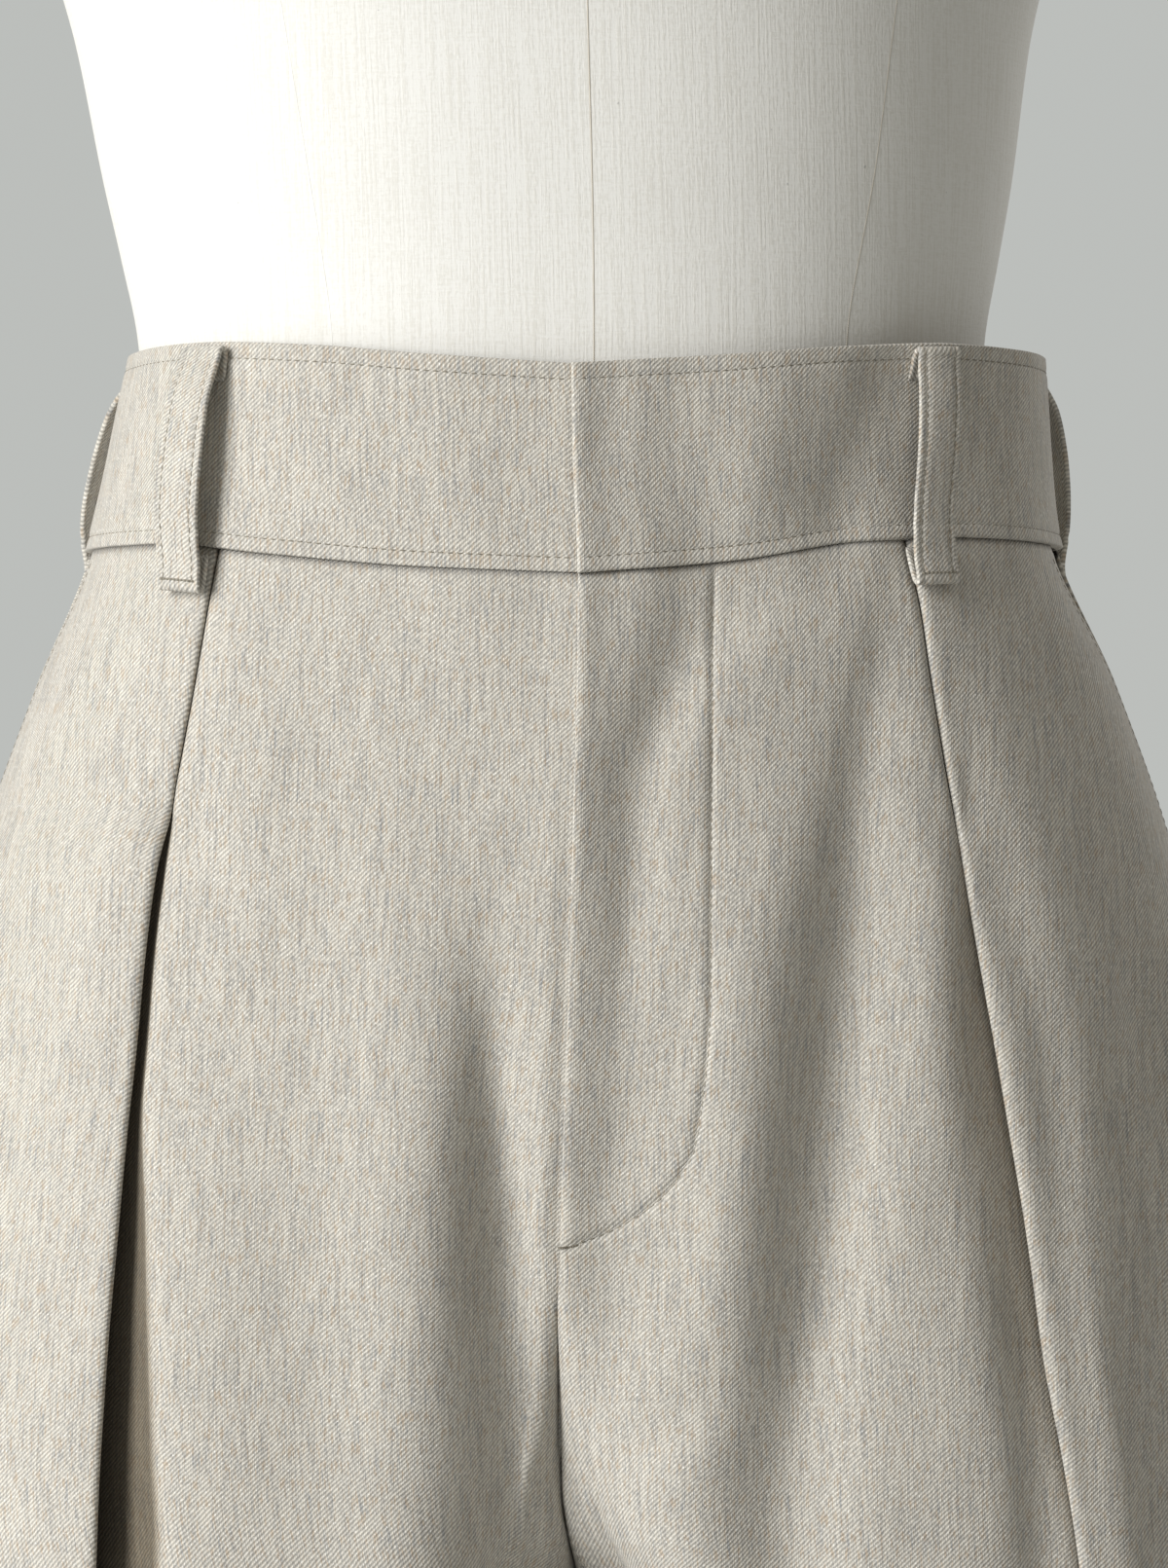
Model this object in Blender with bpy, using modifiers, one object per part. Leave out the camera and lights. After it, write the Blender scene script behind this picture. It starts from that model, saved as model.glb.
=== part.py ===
"""Relaxed pleated shorts, worn on a limbless linen dress form.

Metres, +Z up.  The front faces -Y and +X is the wearer's left.  The origin is
the centre of the base plate's underside.  The garment hangs from its waist, so
its heights are "drops" below the waistband's top edge at the centre front.

The cloth is cut like the real garment: two fronts with one forward pleat each,
two backs, a three-piece contoured waistband, slanted pockets with a facing
behind them, and belt loops.  Each panel is a grid of points worked out from
the section table, and Solidify gives it its wall.
"""

import math

import bmesh
import bpy
import numpy as np

# ------------------------------------------------------------ driving sizes
WAIST_Z = 0.580            # band's top edge at the centre front
BAND_HEIGHT = 0.0505
HEM_DROP = 0.495           # outseam length, band included
CROTCH_DROP = 0.305
SEAM = 0.0003              # gap between touching pieces
CLOTH = 0.0011             # wall of a single layer of suiting
BAND_WALL = 0.0022         # folded and interfaced
BAND_PROUD = 0.0003        # the band's middle outside the panels' middle
BAND_PITCH = (BAND_WALL + 2 * SEAM) / 2    # half the step where its ends lap
LOOP_WALL = 0.0014
LOOP_WIDTH = 0.0122
LOOP_BELOW_BAND = 0.0105   # how far a loop reaches below the band

TUCK_END = 0.1115          # the pleat is stitched down to this drop
PLEAT_OPEN = 0.310         # and stands fully open from this drop on
FLY_END = 0.222
FLY_UNDERLAP = 0.008
BAND_UNDERLAP = 0.010
POCKET_END = 0.215         # where the slanted mouth meets the side seam
POCKET_FORWARD = 0.028     # how far forward of the side seam it starts
FACING_UNDER = 0.014       # facing hidden behind the front's edge

FORM_BOTTOM = 0.235        # torso's flat underside below the waist
FORM_LEAN = 0.0034         # the torso leans to the wearer's right
FORM_LEAN_END = 0.140
POST_RADIUS = 0.010
POST_X = 0.078
BASE_SIZE = (0.340, 0.270, 0.009)
BASE_CORNER = 0.045

FRONT = -1
BACK = 1
LEFT = 1                   # the wearer's left, at +X
RIGHT = -1

# --------------------------------------------------------------- the tables
# One row for each horizontal section of the garment.
SECTION_COLUMNS = ("drop", "half_width", "front", "back", "crown",
                   "square", "inner_square")
SECTIONS = (
    (0.000, 0.1160, 0.0870, 0.0850, 0.000, 2.50, 3.6),
    (0.050, 0.1235, 0.0930, 0.0935, 0.004, 2.50, 3.6),
    (0.085, 0.1385, 0.0975, 0.1015, 0.008, 2.50, 3.6),
    (0.120, 0.1515, 0.1020, 0.1085, 0.014, 2.50, 3.6),
    (0.160, 0.1635, 0.1060, 0.1160, 0.024, 2.50, 3.6),
    (0.200, 0.1720, 0.1090, 0.1210, 0.036, 2.48, 3.6),
    (0.235, 0.1775, 0.1115, 0.1225, 0.046, 2.45, 3.5),
    (0.262, 0.1810, 0.1130, 0.1220, 0.055, 2.42, 3.4),
    (0.285, 0.1835, 0.1140, 0.1205, 0.062, 2.40, 3.3),
    (0.305, 0.1860, 0.1152, 0.1190, 0.068, 2.36, 3.0),
    (0.340, 0.1890, 0.1165, 0.1165, 0.074, 2.34, 2.7),
    (0.400, 0.1940, 0.1185, 0.1140, 0.082, 2.32, 2.5),
    (0.495, 0.2005, 0.1210, 0.1110, 0.090, 2.30, 2.4),
)

# How deep the centre seam sinks between the legs, as a share of the way from
# the cloth's face to the crotch point, where it is 1.
GROOVE_COLUMNS = ("drop", "front", "back")
GROOVE = (
    (0.120, 0.000, 0.000),
    (0.160, 0.000, 0.010),
    (0.200, 0.000, 0.033),
    (0.218, 0.000, 0.056),
    (0.240, 0.040, 0.085),
    (0.262, 0.110, 0.200),
    (0.285, 0.335, 0.465),
    (0.298, 0.630, 0.720),
    (0.305, 1.000, 1.000),
)

# How far the inseam stands out from the middle and back, below the crotch.
INSEAM_COLUMNS = ("drop", "out", "back")
INSEAM = (
    (0.305, 0.0000, 0.0000),
    (0.330, 0.0025, 0.0006),
    (0.400, 0.0080, 0.0010),
    (0.495, 0.0130, 0.0015),
)

# x of each pleat's fold edge; the two sides hang a little differently.
PLEAT_COLUMNS = ("drop", "left", "right")
PLEAT_EDGE = (
    (0.050, 0.0865, 0.0890),
    (0.085, 0.0910, 0.0950),
    (0.118, 0.0955, 0.1005),
    (0.180, 0.1050, 0.1100),
    (0.237, 0.1145, 0.1150),
    (0.300, 0.1240, 0.1180),
    (0.400, 0.1330, 0.1240),
    (0.495, 0.1380, 0.1290),
)

# The pleat's path, from the centre panel to the side cloth that laps over it.
# "along" is measured round the body from the fold edge, "deep" into the body.
FOLD_COLUMNS = ("along_shut", "deep_shut", "along_open", "deep_open")
FOLD_PATH = (
    (-0.0260, 0.0000, -0.0310, 0.0003),
    (-0.0150, 0.0013, -0.0190, 0.0016),
    (-0.0060, 0.0027, -0.0090, 0.0062),
    (0.0030, 0.0032, -0.0020, 0.0140),
    (0.0120, 0.0032, 0.0045, 0.0215),
    (0.0208, 0.0032, 0.0110, 0.0262),
    (0.0216, 0.0024, 0.0124, 0.0256),
    (0.0208, 0.0016, 0.0122, 0.0240),
    (0.0120, 0.0016, 0.0075, 0.0160),
    (0.0060, 0.0016, 0.0035, 0.0080),
    (0.0010, 0.0016, 0.0002, 0.0020),
    (0.0000, 0.0008, -0.0002, 0.0008),
    (0.0010, 0.0000, 0.0010, 0.0000),
)

# Soft folds that the cloth hangs in.  "at" is measured round the body, equal
# to x on the flat front; lift is outward, so a trough is below zero.
DRAPE_COLUMNS = ("side", "facing", "at_top", "at_hem", "start", "full",
                 "lift", "width")
DRAPE = (
    (RIGHT, FRONT, 0.026, 0.040, 0.130, 0.300, -0.0060, 0.017),
    (RIGHT, FRONT, 0.066, 0.082, 0.170, 0.360, 0.0045, 0.020),
    (LEFT, FRONT, 0.052, 0.060, 0.120, 0.290, -0.0065, 0.018),
    (LEFT, FRONT, 0.074, 0.092, 0.160, 0.350, 0.0040, 0.017),
    (RIGHT, FRONT, 0.190, 0.200, 0.240, 0.430, -0.0060, 0.026),
    (LEFT, FRONT, 0.195, 0.205, 0.240, 0.430, -0.0055, 0.026),
    (RIGHT, BACK, 0.060, 0.072, 0.230, 0.420, -0.0070, 0.024),
    (RIGHT, BACK, 0.120, 0.132, 0.250, 0.430, 0.0060, 0.026),
    (RIGHT, BACK, 0.175, 0.190, 0.240, 0.430, -0.0060, 0.026),
    (LEFT, BACK, 0.066, 0.078, 0.230, 0.420, -0.0065, 0.024),
    (LEFT, BACK, 0.124, 0.138, 0.250, 0.430, 0.0065, 0.026),
    (LEFT, BACK, 0.180, 0.196, 0.240, 0.430, -0.0065, 0.026),
)

# The band's edges rise from the centre front: around is 0 there, 1 at the
# side seam and 2 at the centre back.  Its lower edge differs a little by side.
RISE_COLUMNS = ("around", "top", "bottom_left", "bottom_right")
RISE = (
    (0.00, 0.0000, -0.0012, -0.0012),
    (0.22, 0.0024, 0.0020, 0.0005),
    (0.42, 0.0051, 0.0069, 0.0036),
    (0.60, 0.0063, 0.0082, 0.0065),
    (1.00, 0.0046, 0.0064, 0.0056),
    (1.50, 0.0085, 0.0092, 0.0088),
    (2.00, 0.0100, 0.0100, 0.0100),
)
RISE_FADE = 0.170          # the panels' rows are level again at this drop

# The centre seam hangs slightly towards the wearer's right, and the whole
# band stands off the form towards the wearer's left.
SWAY_COLUMNS = ("drop", "centre", "whole")
SWAY = (
    (0.000, -0.0042, 0.0029),
    (0.025, -0.0018, 0.0010),
    (0.050, 0.0008, -0.0006),
    (0.090, -0.0004, 0.0000),
    (0.150, -0.0020, 0.0000),
    (0.228, -0.0042, 0.0000),
    (0.275, -0.0036, 0.0000),
    (0.305, 0.0000, 0.0000),
    (0.495, 0.0000, 0.0000),
)
SWAY_WIDTH = 0.050

# The dress form, by height above its waist.
FORM_COLUMNS = ("height", "half_width", "front", "back", "square")
FORM = (
    (-0.235, 0.1480, 0.0860, 0.1060, 2.25),
    (-0.225, 0.1520, 0.0890, 0.1090, 2.25),
    (-0.195, 0.1555, 0.0920, 0.1120, 2.25),
    (-0.150, 0.1470, 0.0905, 0.1070, 2.25),
    (-0.100, 0.1300, 0.0875, 0.0965, 2.25),
    (-0.050, 0.1130, 0.0835, 0.0850, 2.25),
    (-0.010, 0.1070, 0.0805, 0.0790, 2.25),
    (0.010, 0.1086, 0.0810, 0.0790, 2.25),
    (0.030, 0.1124, 0.0825, 0.0800, 2.25),
    (0.050, 0.1164, 0.0855, 0.0820, 2.25),
    (0.085, 0.1222, 0.0920, 0.0872, 2.25),
    (0.110, 0.1285, 0.1000, 0.0920, 2.20),
    (0.135, 0.1340, 0.1080, 0.0960, 2.18),
    (0.155, 0.1378, 0.1125, 0.0985, 2.16),
    (0.175, 0.1412, 0.1135, 0.1000, 2.15),
    (0.200, 0.1445, 0.1100, 0.1010, 2.15),
    (0.230, 0.1475, 0.1020, 0.1010, 2.16),
    (0.260, 0.1505, 0.0930, 0.0990, 2.18),
    (0.290, 0.1545, 0.0840, 0.0945, 2.22),
    (0.315, 0.1575, 0.0755, 0.0880, 2.25),
    (0.334, 0.1545, 0.0690, 0.0815, 2.25),
    (0.350, 0.1400, 0.0640, 0.0750, 2.22),
    (0.362, 0.1160, 0.0595, 0.0690, 2.20),
    (0.372, 0.0900, 0.0555, 0.0625, 2.15),
    (0.382, 0.0710, 0.0525, 0.0570, 2.10),
    (0.396, 0.0605, 0.0500, 0.0530, 2.08),
    (0.430, 0.0560, 0.0480, 0.0500, 2.05),
)

# Rows of a panel, as drops; closer together where the crotch seam turns under.
PANEL_ROWS = (0.0510, 0.064, 0.080, 0.096, 0.106, 0.1135, 0.130, 0.149, 0.168,
              0.187, 0.204, 0.215, 0.237, 0.256, 0.271, 0.283, 0.293, 0.300,
              0.305, 0.316, 0.336, 0.366, 0.402, 0.446, HEM_DROP)

# Stations down a belt loop: where it is between the band's top edge (0) and
# the loop's lower end (1), and how far its middle stands off the cloth.
LOOP_COLUMNS = ("down", "off")
LOOP_PATH = (
    (0.130, 0.0010),
    (0.060, 0.0010),
    (0.012, 0.0013),
    (0.000, 0.0024),
    (0.012, 0.0035),
    (0.080, 0.0044),
    (0.220, 0.0066),
    (0.400, 0.0077),
    (0.600, 0.0077),
    (0.760, 0.0066),
    (0.900, 0.0044),
    (0.988, 0.0035),
    (1.000, 0.0024),
    (0.988, 0.0013),
    (0.940, 0.0010),
    (0.860, 0.0010),
)


# ---------------------------------------------------------------- the maths
def interpolate(table, columns, name, value):
    """A column of a table at a value of its first column, as a smooth curve."""
    knots = [row[0] for row in table]
    heights = [row[columns.index(name)] for row in table]
    if value <= knots[0]:
        return heights[0]
    if value >= knots[-1]:
        return heights[-1]
    index = next(i for i in range(len(knots) - 1) if value < knots[i + 1])
    rates = [(heights[i + 1] - heights[i]) / (knots[i + 1] - knots[i])
             for i in range(len(knots) - 1)]

    def slope(i):
        if i == 0:
            return rates[0]
        if i == len(rates):
            return rates[-1]
        before, after = rates[i - 1], rates[i]
        if before * after <= 0.0:
            return 0.0
        return 2.0 * before * after / (before + after)

    span = knots[index + 1] - knots[index]
    t = (value - knots[index]) / span
    low, high = heights[index], heights[index + 1]
    return (low * (1 + 2 * t) * (1 - t) ** 2 + slope(index) * span * t * (1 - t) ** 2
            + high * t * t * (3 - 2 * t) - slope(index + 1) * span * t * t * (1 - t))


def section_value(name, drop):
    return interpolate(SECTIONS, SECTION_COLUMNS, name, drop)


def ease(value, start, end):
    """0 before start, 1 after end, smooth between."""
    t = min(max((value - start) / (end - start), 0.0), 1.0)
    return t * t * (3.0 - 2.0 * t)


def rise(side, around, drop):
    """How far the cloth stands above a level row; the rows end level."""
    top = interpolate(RISE, RISE_COLUMNS, "top", around)
    column = "bottom_left" if side == LEFT else "bottom_right"
    bottom = interpolate(RISE, RISE_COLUMNS, column, around)
    down = min(drop / BAND_HEIGHT, 1.0)
    return (top + (bottom - top) * down) * (1.0 - ease(drop, BAND_HEIGHT, RISE_FADE))


class Section:
    """One horizontal section of half the garment, front or back.

    Its points run from the centre seam, or below the crotch the inseam, round
    to the side seam.  Distances along it are real lengths of cloth.
    """

    def __init__(self, drop, facing):
        width = section_value("half_width", drop)
        crown = section_value("crown", drop)
        depth = section_value("front" if facing == FRONT else "back", drop)
        inseam_y = interpolate(INSEAM, INSEAM_COLUMNS, "back", drop)
        sink = interpolate(GROOVE, GROOVE_COLUMNS, "front" if facing == FRONT else "back", drop)
        groove = (depth - facing * inseam_y) * sink
        square = section_value("square", drop)
        inner_square = section_value("inner_square", drop)
        inner_x = interpolate(INSEAM, INSEAM_COLUMNS, "out", drop)
        inner_x += SEAM / 2 + CLOTH / 2 * ease(groove, 0.0, 0.010)
        crown = max(crown, inner_x + 0.0005)
        turn = np.linspace(0.0, math.pi / 2, 60)
        rising = np.sin(turn) ** (2.0 / inner_square)
        inner_xs = crown - (crown - inner_x) * np.cos(turn) ** (2.0 / inner_square)
        inner_ys = depth - groove * (1.0 - rising)
        outer_xs = crown + (width - crown) * np.sin(turn) ** (2.0 / square)
        outer_ys = depth * np.cos(turn) ** (2.0 / square)
        self.facing = facing
        self.xs = np.concatenate((inner_xs[:-1], outer_xs))
        self.ys = np.concatenate((inner_ys[:-1], outer_ys)) * facing
        steps = np.hypot(np.diff(self.xs), np.diff(self.ys))
        self.arc = np.concatenate(([0.0], np.cumsum(steps)))
        self.length = self.arc[-1]
        self.crown = crown
        self.crown_arc = self.arc[len(turn) - 1]

    def place(self, distance):
        """The point and its outward direction at a distance from the centre seam."""
        reach = abs(distance)
        half_step = 0.0008
        x = np.interp(reach, self.arc, self.xs)
        y = np.interp(reach, self.arc, self.ys)
        before = max(reach - half_step, 0.0)
        after = min(reach + half_step, self.length)
        run_x = np.interp(after, self.arc, self.xs) - np.interp(before, self.arc, self.xs)
        run_y = np.interp(after, self.arc, self.ys) - np.interp(before, self.arc, self.ys)
        norm = math.hypot(run_x, run_y)
        out_x = -self.facing * run_y / norm
        out_y = self.facing * run_x / norm
        if distance < 0.0:
            x, out_x = -x, -out_x
        return x, y, out_x, out_y

    def distance_at(self, x):
        """Distance along the section where it reaches this x."""
        return float(np.interp(x, self.xs, self.arc))

    def measure(self, distance):
        """Place round the body, equal to x on the flat front."""
        return self.crown + distance - self.crown_arc


def drape(side, facing, at, drop):
    """Outward lift of the soft hanging folds."""
    total = 0.0
    for row in DRAPE:
        fold = dict(zip(DRAPE_COLUMNS, row))
        if fold["side"] != side or fold["facing"] != facing:
            continue
        grown = ease(drop, fold["start"], fold["full"])
        along = (drop - fold["start"]) / (HEM_DROP - fold["start"])
        centre = fold["at_top"] + (fold["at_hem"] - fold["at_top"]) * along
        total += fold["lift"] * grown * math.exp(-((at - centre) / fold["width"]) ** 2)
    return total


def cloth_point(side, facing, drop, distance, lift=0.0):
    """A point of the garment's middle surface, moved out by lift."""
    section = Section(drop, facing)
    x, y, out_x, out_y = section.place(distance)
    lift += drape(side, facing, section.measure(distance), drop)
    x = side * (x + out_x * lift)
    y = y + out_y * lift
    x += interpolate(SWAY, SWAY_COLUMNS, "centre", drop) * math.exp(-(x / SWAY_WIDTH) ** 2)
    x += interpolate(SWAY, SWAY_COLUMNS, "whole", drop)
    around = min(abs(distance) / section.length, 1.0)
    around = around if facing == FRONT else 2.0 - around
    return (x, y, WAIST_Z - drop + rise(side, around, drop))


# ----------------------------------------------------------- making objects
def clear_scene():
    for thing in list(bpy.data.objects):
        bpy.data.objects.remove(thing, do_unlink=True)


def make_collection(name):
    collection = bpy.data.collections.new(name)
    bpy.context.scene.collection.children.link(collection)
    return collection


def give_finish(thing, colour, roughness, metallic=0.0):
    """A plain Principled material of its own."""
    material = bpy.data.materials.new(thing.name)
    material.use_nodes = True
    shader = material.node_tree.nodes["Principled BSDF"]
    shader.inputs["Base Color"].default_value = (*colour, 1.0)
    shader.inputs["Roughness"].default_value = roughness
    shader.inputs["Metallic"].default_value = metallic
    thing.data.materials.append(material)


def cloth_piece(collection, name, rows, wall, colour=(0.56, 0.53, 0.47)):
    """An open grid of points given its wall by Solidify."""
    mesh = bpy.data.meshes.new(name)
    shape = bmesh.new()
    grid = [[shape.verts.new(point) for point in row] for row in rows]
    for upper, lower in zip(grid, grid[1:]):
        for i in range(len(upper) - 1):
            shape.faces.new((upper[i], upper[i + 1], lower[i + 1], lower[i]))
    shape.to_mesh(mesh)
    shape.free()
    thing = bpy.data.objects.new(name, mesh)
    collection.objects.link(thing)
    solid = thing.modifiers.new("wall", "SOLIDIFY")
    solid.thickness = wall
    solid.offset = 0.0
    solid.use_even_offset = True
    mesh.shade_smooth()
    give_finish(thing, colour, 0.85)
    return thing


def spread(start, end, count):
    return [start + (end - start) * i / (count - 1) for i in range(count)]


# --------------------------------------------------------------- the garment
def fold_station(row, shut_to_open):
    fold = dict(zip(FOLD_COLUMNS, row))
    along = fold["along_shut"] + (fold["along_open"] - fold["along_shut"]) * shut_to_open
    deep = fold["deep_shut"] + (fold["deep_open"] - fold["deep_shut"]) * shut_to_open
    return along, deep


def pocket_edge(drop):
    """How far forward of the side seam the front's edge runs."""
    left_to_go = (POCKET_END - drop) / (POCKET_END - BAND_HEIGHT)
    return POCKET_FORWARD * max(left_to_go, 0.0)


def fly_edge(side, drop):
    """Where a front's centre edge is: the right one runs on under the left."""
    if side == LEFT:
        return 0.0
    return -(FLY_UNDERLAP + SEAM) * (1.0 - ease(drop, FLY_END - 0.018, FLY_END - 0.007))


def fly_lift(side, drop, distance):
    """The lapping front stands a wall's pitch above the one beneath it."""
    pitch = (CLOTH + 2 * SEAM) / 2
    near = 1.0 - ease(distance, 0.006, 0.034)
    return side * pitch * near * (1.0 - ease(drop, FLY_END - 0.007, FLY_END + 0.015))


def front_row(side, drop):
    """One row of a front panel, from the centre through the pleat to the side."""
    section = Section(drop, FRONT)
    column = "left" if side == LEFT else "right"
    edge = section.distance_at(interpolate(PLEAT_EDGE, PLEAT_COLUMNS, column, drop))
    shut_to_open = ease(drop, TUCK_END, PLEAT_OPEN)
    stations = [fold_station(row, shut_to_open) for row in FOLD_PATH]
    first = edge + stations[0][0]
    start = fly_edge(side, drop) + SEAM / 2
    points = [(place, 0.0) for place in spread(start, first, 9)[:-1]]
    points += [(edge + along, deep) for along, deep in stations]
    end = section.length - pocket_edge(drop) - SEAM / 2
    points += [(place, 0.0) for place in spread(points[-1][0], end, 9)[1:]]
    return [cloth_point(side, FRONT, drop, place, fly_lift(side, drop, place) - deep)
            for place, deep in points]


def build_fronts(collection):
    for side, name in ((LEFT, "front_left"), (RIGHT, "front_right")):
        rows = [front_row(side, drop) for drop in PANEL_ROWS]
        cloth_piece(collection, name, rows, CLOTH)


def build_backs(collection):
    for side, name in ((LEFT, "back_left"), (RIGHT, "back_right")):
        rows = []
        for drop in PANEL_ROWS:
            length = Section(drop, BACK).length
            places = spread(SEAM / 2, length - SEAM / 2, 13)
            rows.append([cloth_point(side, BACK, drop, place) for place in places])
        cloth_piece(collection, name, rows, CLOTH)


def build_pockets(collection):
    """The facing that shows behind each slanted pocket edge."""
    lowest = POCKET_END + FACING_UNDER
    inward = -(CLOTH + 3 * SEAM)
    for side, name in ((LEFT, "pocket_facing_left"), (RIGHT, "pocket_facing_right")):
        rows = []
        for drop in spread(BAND_HEIGHT + 3 * SEAM, lowest, 9):
            end = Section(drop, FRONT).length - SEAM
            start = end - pocket_edge(drop) - FACING_UNDER
            rows.append([cloth_point(side, FRONT, drop, place, inward)
                         for place in spread(start, end, 6)])
        cloth_piece(collection, name, rows, CLOTH)


def band_rows(columns):
    """Rows down the band through (side, facing, distance, lift) columns."""
    rows = []
    for drop in spread(0.0, BAND_HEIGHT, 5):
        row = []
        for side, facing, share, start, lift in columns:
            length = Section(drop, facing).length
            place = start + (length - SEAM / 2 - start) * share
            row.append(cloth_point(side, facing, drop, place, BAND_PROUD + lift))
        rows.append(row)
    return rows


def build_band(collection):
    shares = spread(0.0, 1.0, 13)
    for side, name in ((LEFT, "band_front_left"), (RIGHT, "band_front_right")):
        start = 0.0 if side == LEFT else -(BAND_UNDERLAP + SEAM)
        columns = []
        for share in shares:
            lap = side * BAND_PITCH * (1.0 - ease(share, 0.06, 0.30))
            columns.append((side, FRONT, share, start, lap))
        cloth_piece(collection, name, band_rows(columns), BAND_WALL)
    columns = [(RIGHT, BACK, share, 0.0, 0.0) for share in reversed(shares)]
    columns += [(LEFT, BACK, share, 0.0, 0.0) for share in shares[1:]]
    cloth_piece(collection, "band_back", band_rows(columns), BAND_WALL)


# Belt loops: side, facing, and the place of the loop's middle at the top and
# at the bottom, as a share of the way from the centre to the side seam.
LOOP_PLACE_COLUMNS = ("name", "side", "facing", "top", "bottom")
LOOP_PLACES = (
    ("belt_loop_front_left", LEFT, FRONT, 0.560, 0.510),
    ("belt_loop_front_right", RIGHT, FRONT, 0.585, 0.540),
    ("belt_loop_side_left", LEFT, BACK, 0.770, 0.770),
    ("belt_loop_side_right", RIGHT, BACK, 0.770, 0.770),
    ("belt_loop_back", LEFT, BACK, 0.0, 0.0),
)


def build_loops(collection):
    """Strips that lie on the band's points, turned under at both ends."""
    outside = BAND_PROUD + BAND_WALL / 2
    reach = BAND_HEIGHT + LOOP_BELOW_BAND
    for row in LOOP_PLACES:
        loop = dict(zip(LOOP_PLACE_COLUMNS, row))
        rows = []
        for down, off in LOOP_PATH:
            drop = reach * down
            length = Section(drop, loop["facing"]).length
            middle = length * (loop["top"] + (loop["bottom"] - loop["top"]) * down)
            lift = outside + off
            rows.append([cloth_point(loop["side"], loop["facing"], drop, middle + across, lift)
                         for across in spread(-LOOP_WIDTH / 2, LOOP_WIDTH / 2, 3)])
        cloth_piece(collection, loop["name"], rows, LOOP_WALL)


# ------------------------------------------------------------ the dress form
def form_shift(height):
    """The form touches the band's top edge on the wearer's right, and leans."""
    contact = rise(RIGHT, 1.0, 0.0) + BAND_WALL
    band_inside = section_value("half_width", 0.0) + BAND_PROUD - BAND_WALL / 2
    band_inside -= interpolate(SWAY, SWAY_COLUMNS, "whole", 0.0)
    form_half = interpolate(FORM, FORM_COLUMNS, "half_width", contact)
    return form_half + SEAM - band_inside - FORM_LEAN * ease(height, 0.0, FORM_LEAN_END)


def build_torso(collection):
    """A closed loft of horizontal rings, from the flat underside to the neck."""
    around = 40
    shape = bmesh.new()
    rings = []
    for height in [row[0] for row in FORM]:
        half, front, back, square = (interpolate(FORM, FORM_COLUMNS, name, height)
                                     for name in FORM_COLUMNS[1:])
        ring = []
        for i in range(around):
            turn = 2.0 * math.pi * i / around
            sine, cosine = math.sin(turn), math.cos(turn)
            x = math.copysign(abs(sine) ** (2.0 / square), sine) * half
            deep = front if cosine > 0.0 else back
            y = -math.copysign(abs(cosine) ** (2.0 / square), cosine) * deep
            ring.append(shape.verts.new((x + form_shift(height), y, WAIST_Z + height)))
        rings.append(ring)
    for lower, upper in zip(rings, rings[1:]):
        for i in range(around):
            j = (i + 1) % around
            shape.faces.new((lower[i], lower[j], upper[j], upper[i]))
    shape.faces.new(list(reversed(rings[0])))
    shape.faces.new(rings[-1])
    bmesh.ops.recalc_face_normals(shape, faces=shape.faces)
    mesh = bpy.data.meshes.new("form_torso")
    shape.to_mesh(mesh)
    shape.free()
    mesh.shade_smooth()
    mesh.set_sharp_from_angle(angle=math.radians(50))
    torso = bpy.data.objects.new("form_torso", mesh)
    collection.objects.link(torso)
    give_finish(torso, (0.84, 0.83, 0.79), 0.9)


def build_stand(collection):
    """Two posts, one down each leg, on one flat plate."""
    width, depth, thick = BASE_SIZE
    bpy.ops.mesh.primitive_cube_add(size=1.0, location=(0.0, 0.0, thick / 2))
    base = bpy.context.object
    base.name = "form_base"
    base.data.name = "form_base"
    for vertex in base.data.vertices:
        vertex.co.x *= width
        vertex.co.y *= depth
        vertex.co.z *= thick
    shape = bmesh.new()
    shape.from_mesh(base.data)
    corners = [edge for edge in shape.edges
               if abs(edge.verts[0].co.z - edge.verts[1].co.z) > thick / 2]
    bmesh.ops.bevel(shape, geom=corners, offset=BASE_CORNER, segments=6,
                    profile=0.5, affect="EDGES")
    shape.to_mesh(base.data)
    shape.free()
    move_to(collection, base)
    give_finish(base, (0.62, 0.62, 0.61), 0.45, 0.6)
    top = WAIST_Z - FORM_BOTTOM - SEAM
    bottom = thick + SEAM
    for side, name in ((LEFT, "form_post_left"), (RIGHT, "form_post_right")):
        bpy.ops.mesh.primitive_cylinder_add(
            vertices=20, radius=POST_RADIUS, depth=top - bottom,
            location=(side * POST_X, 0.0, (top + bottom) / 2))
        post = bpy.context.object
        post.name = name
        post.data.name = name
        post.data.shade_smooth()
        post.data.set_sharp_from_angle(angle=math.radians(40))
        move_to(collection, post)
        give_finish(post, (0.66, 0.66, 0.65), 0.35, 0.9)


def move_to(collection, thing):
    for holder in list(thing.users_collection):
        holder.objects.unlink(thing)
    collection.objects.link(thing)


def main():
    clear_scene()
    collection = make_collection("relaxed_shorts")
    build_torso(collection)
    build_stand(collection)
    build_fronts(collection)
    build_backs(collection)
    build_pockets(collection)
    build_band(collection)
    build_loops(collection)


main()
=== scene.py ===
"""Relaxed pleated shorts worn on a linen-covered dress form, dressed for looks.

Metres, +Z up; folds, creases and the pleats' path are in millimetres.  The
front faces -Y and +X is the wearer's left.  The garment hangs from its waist,
so its heights are "drops" below the waistband's top edge at the centre front.
The tables follow the part's own, drawn finer where the photo shows more, and
the creases are added on top of them.
"""

import logging
import math
from dataclasses import dataclass
from enum import Enum
from typing import Optional, Sequence

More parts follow.
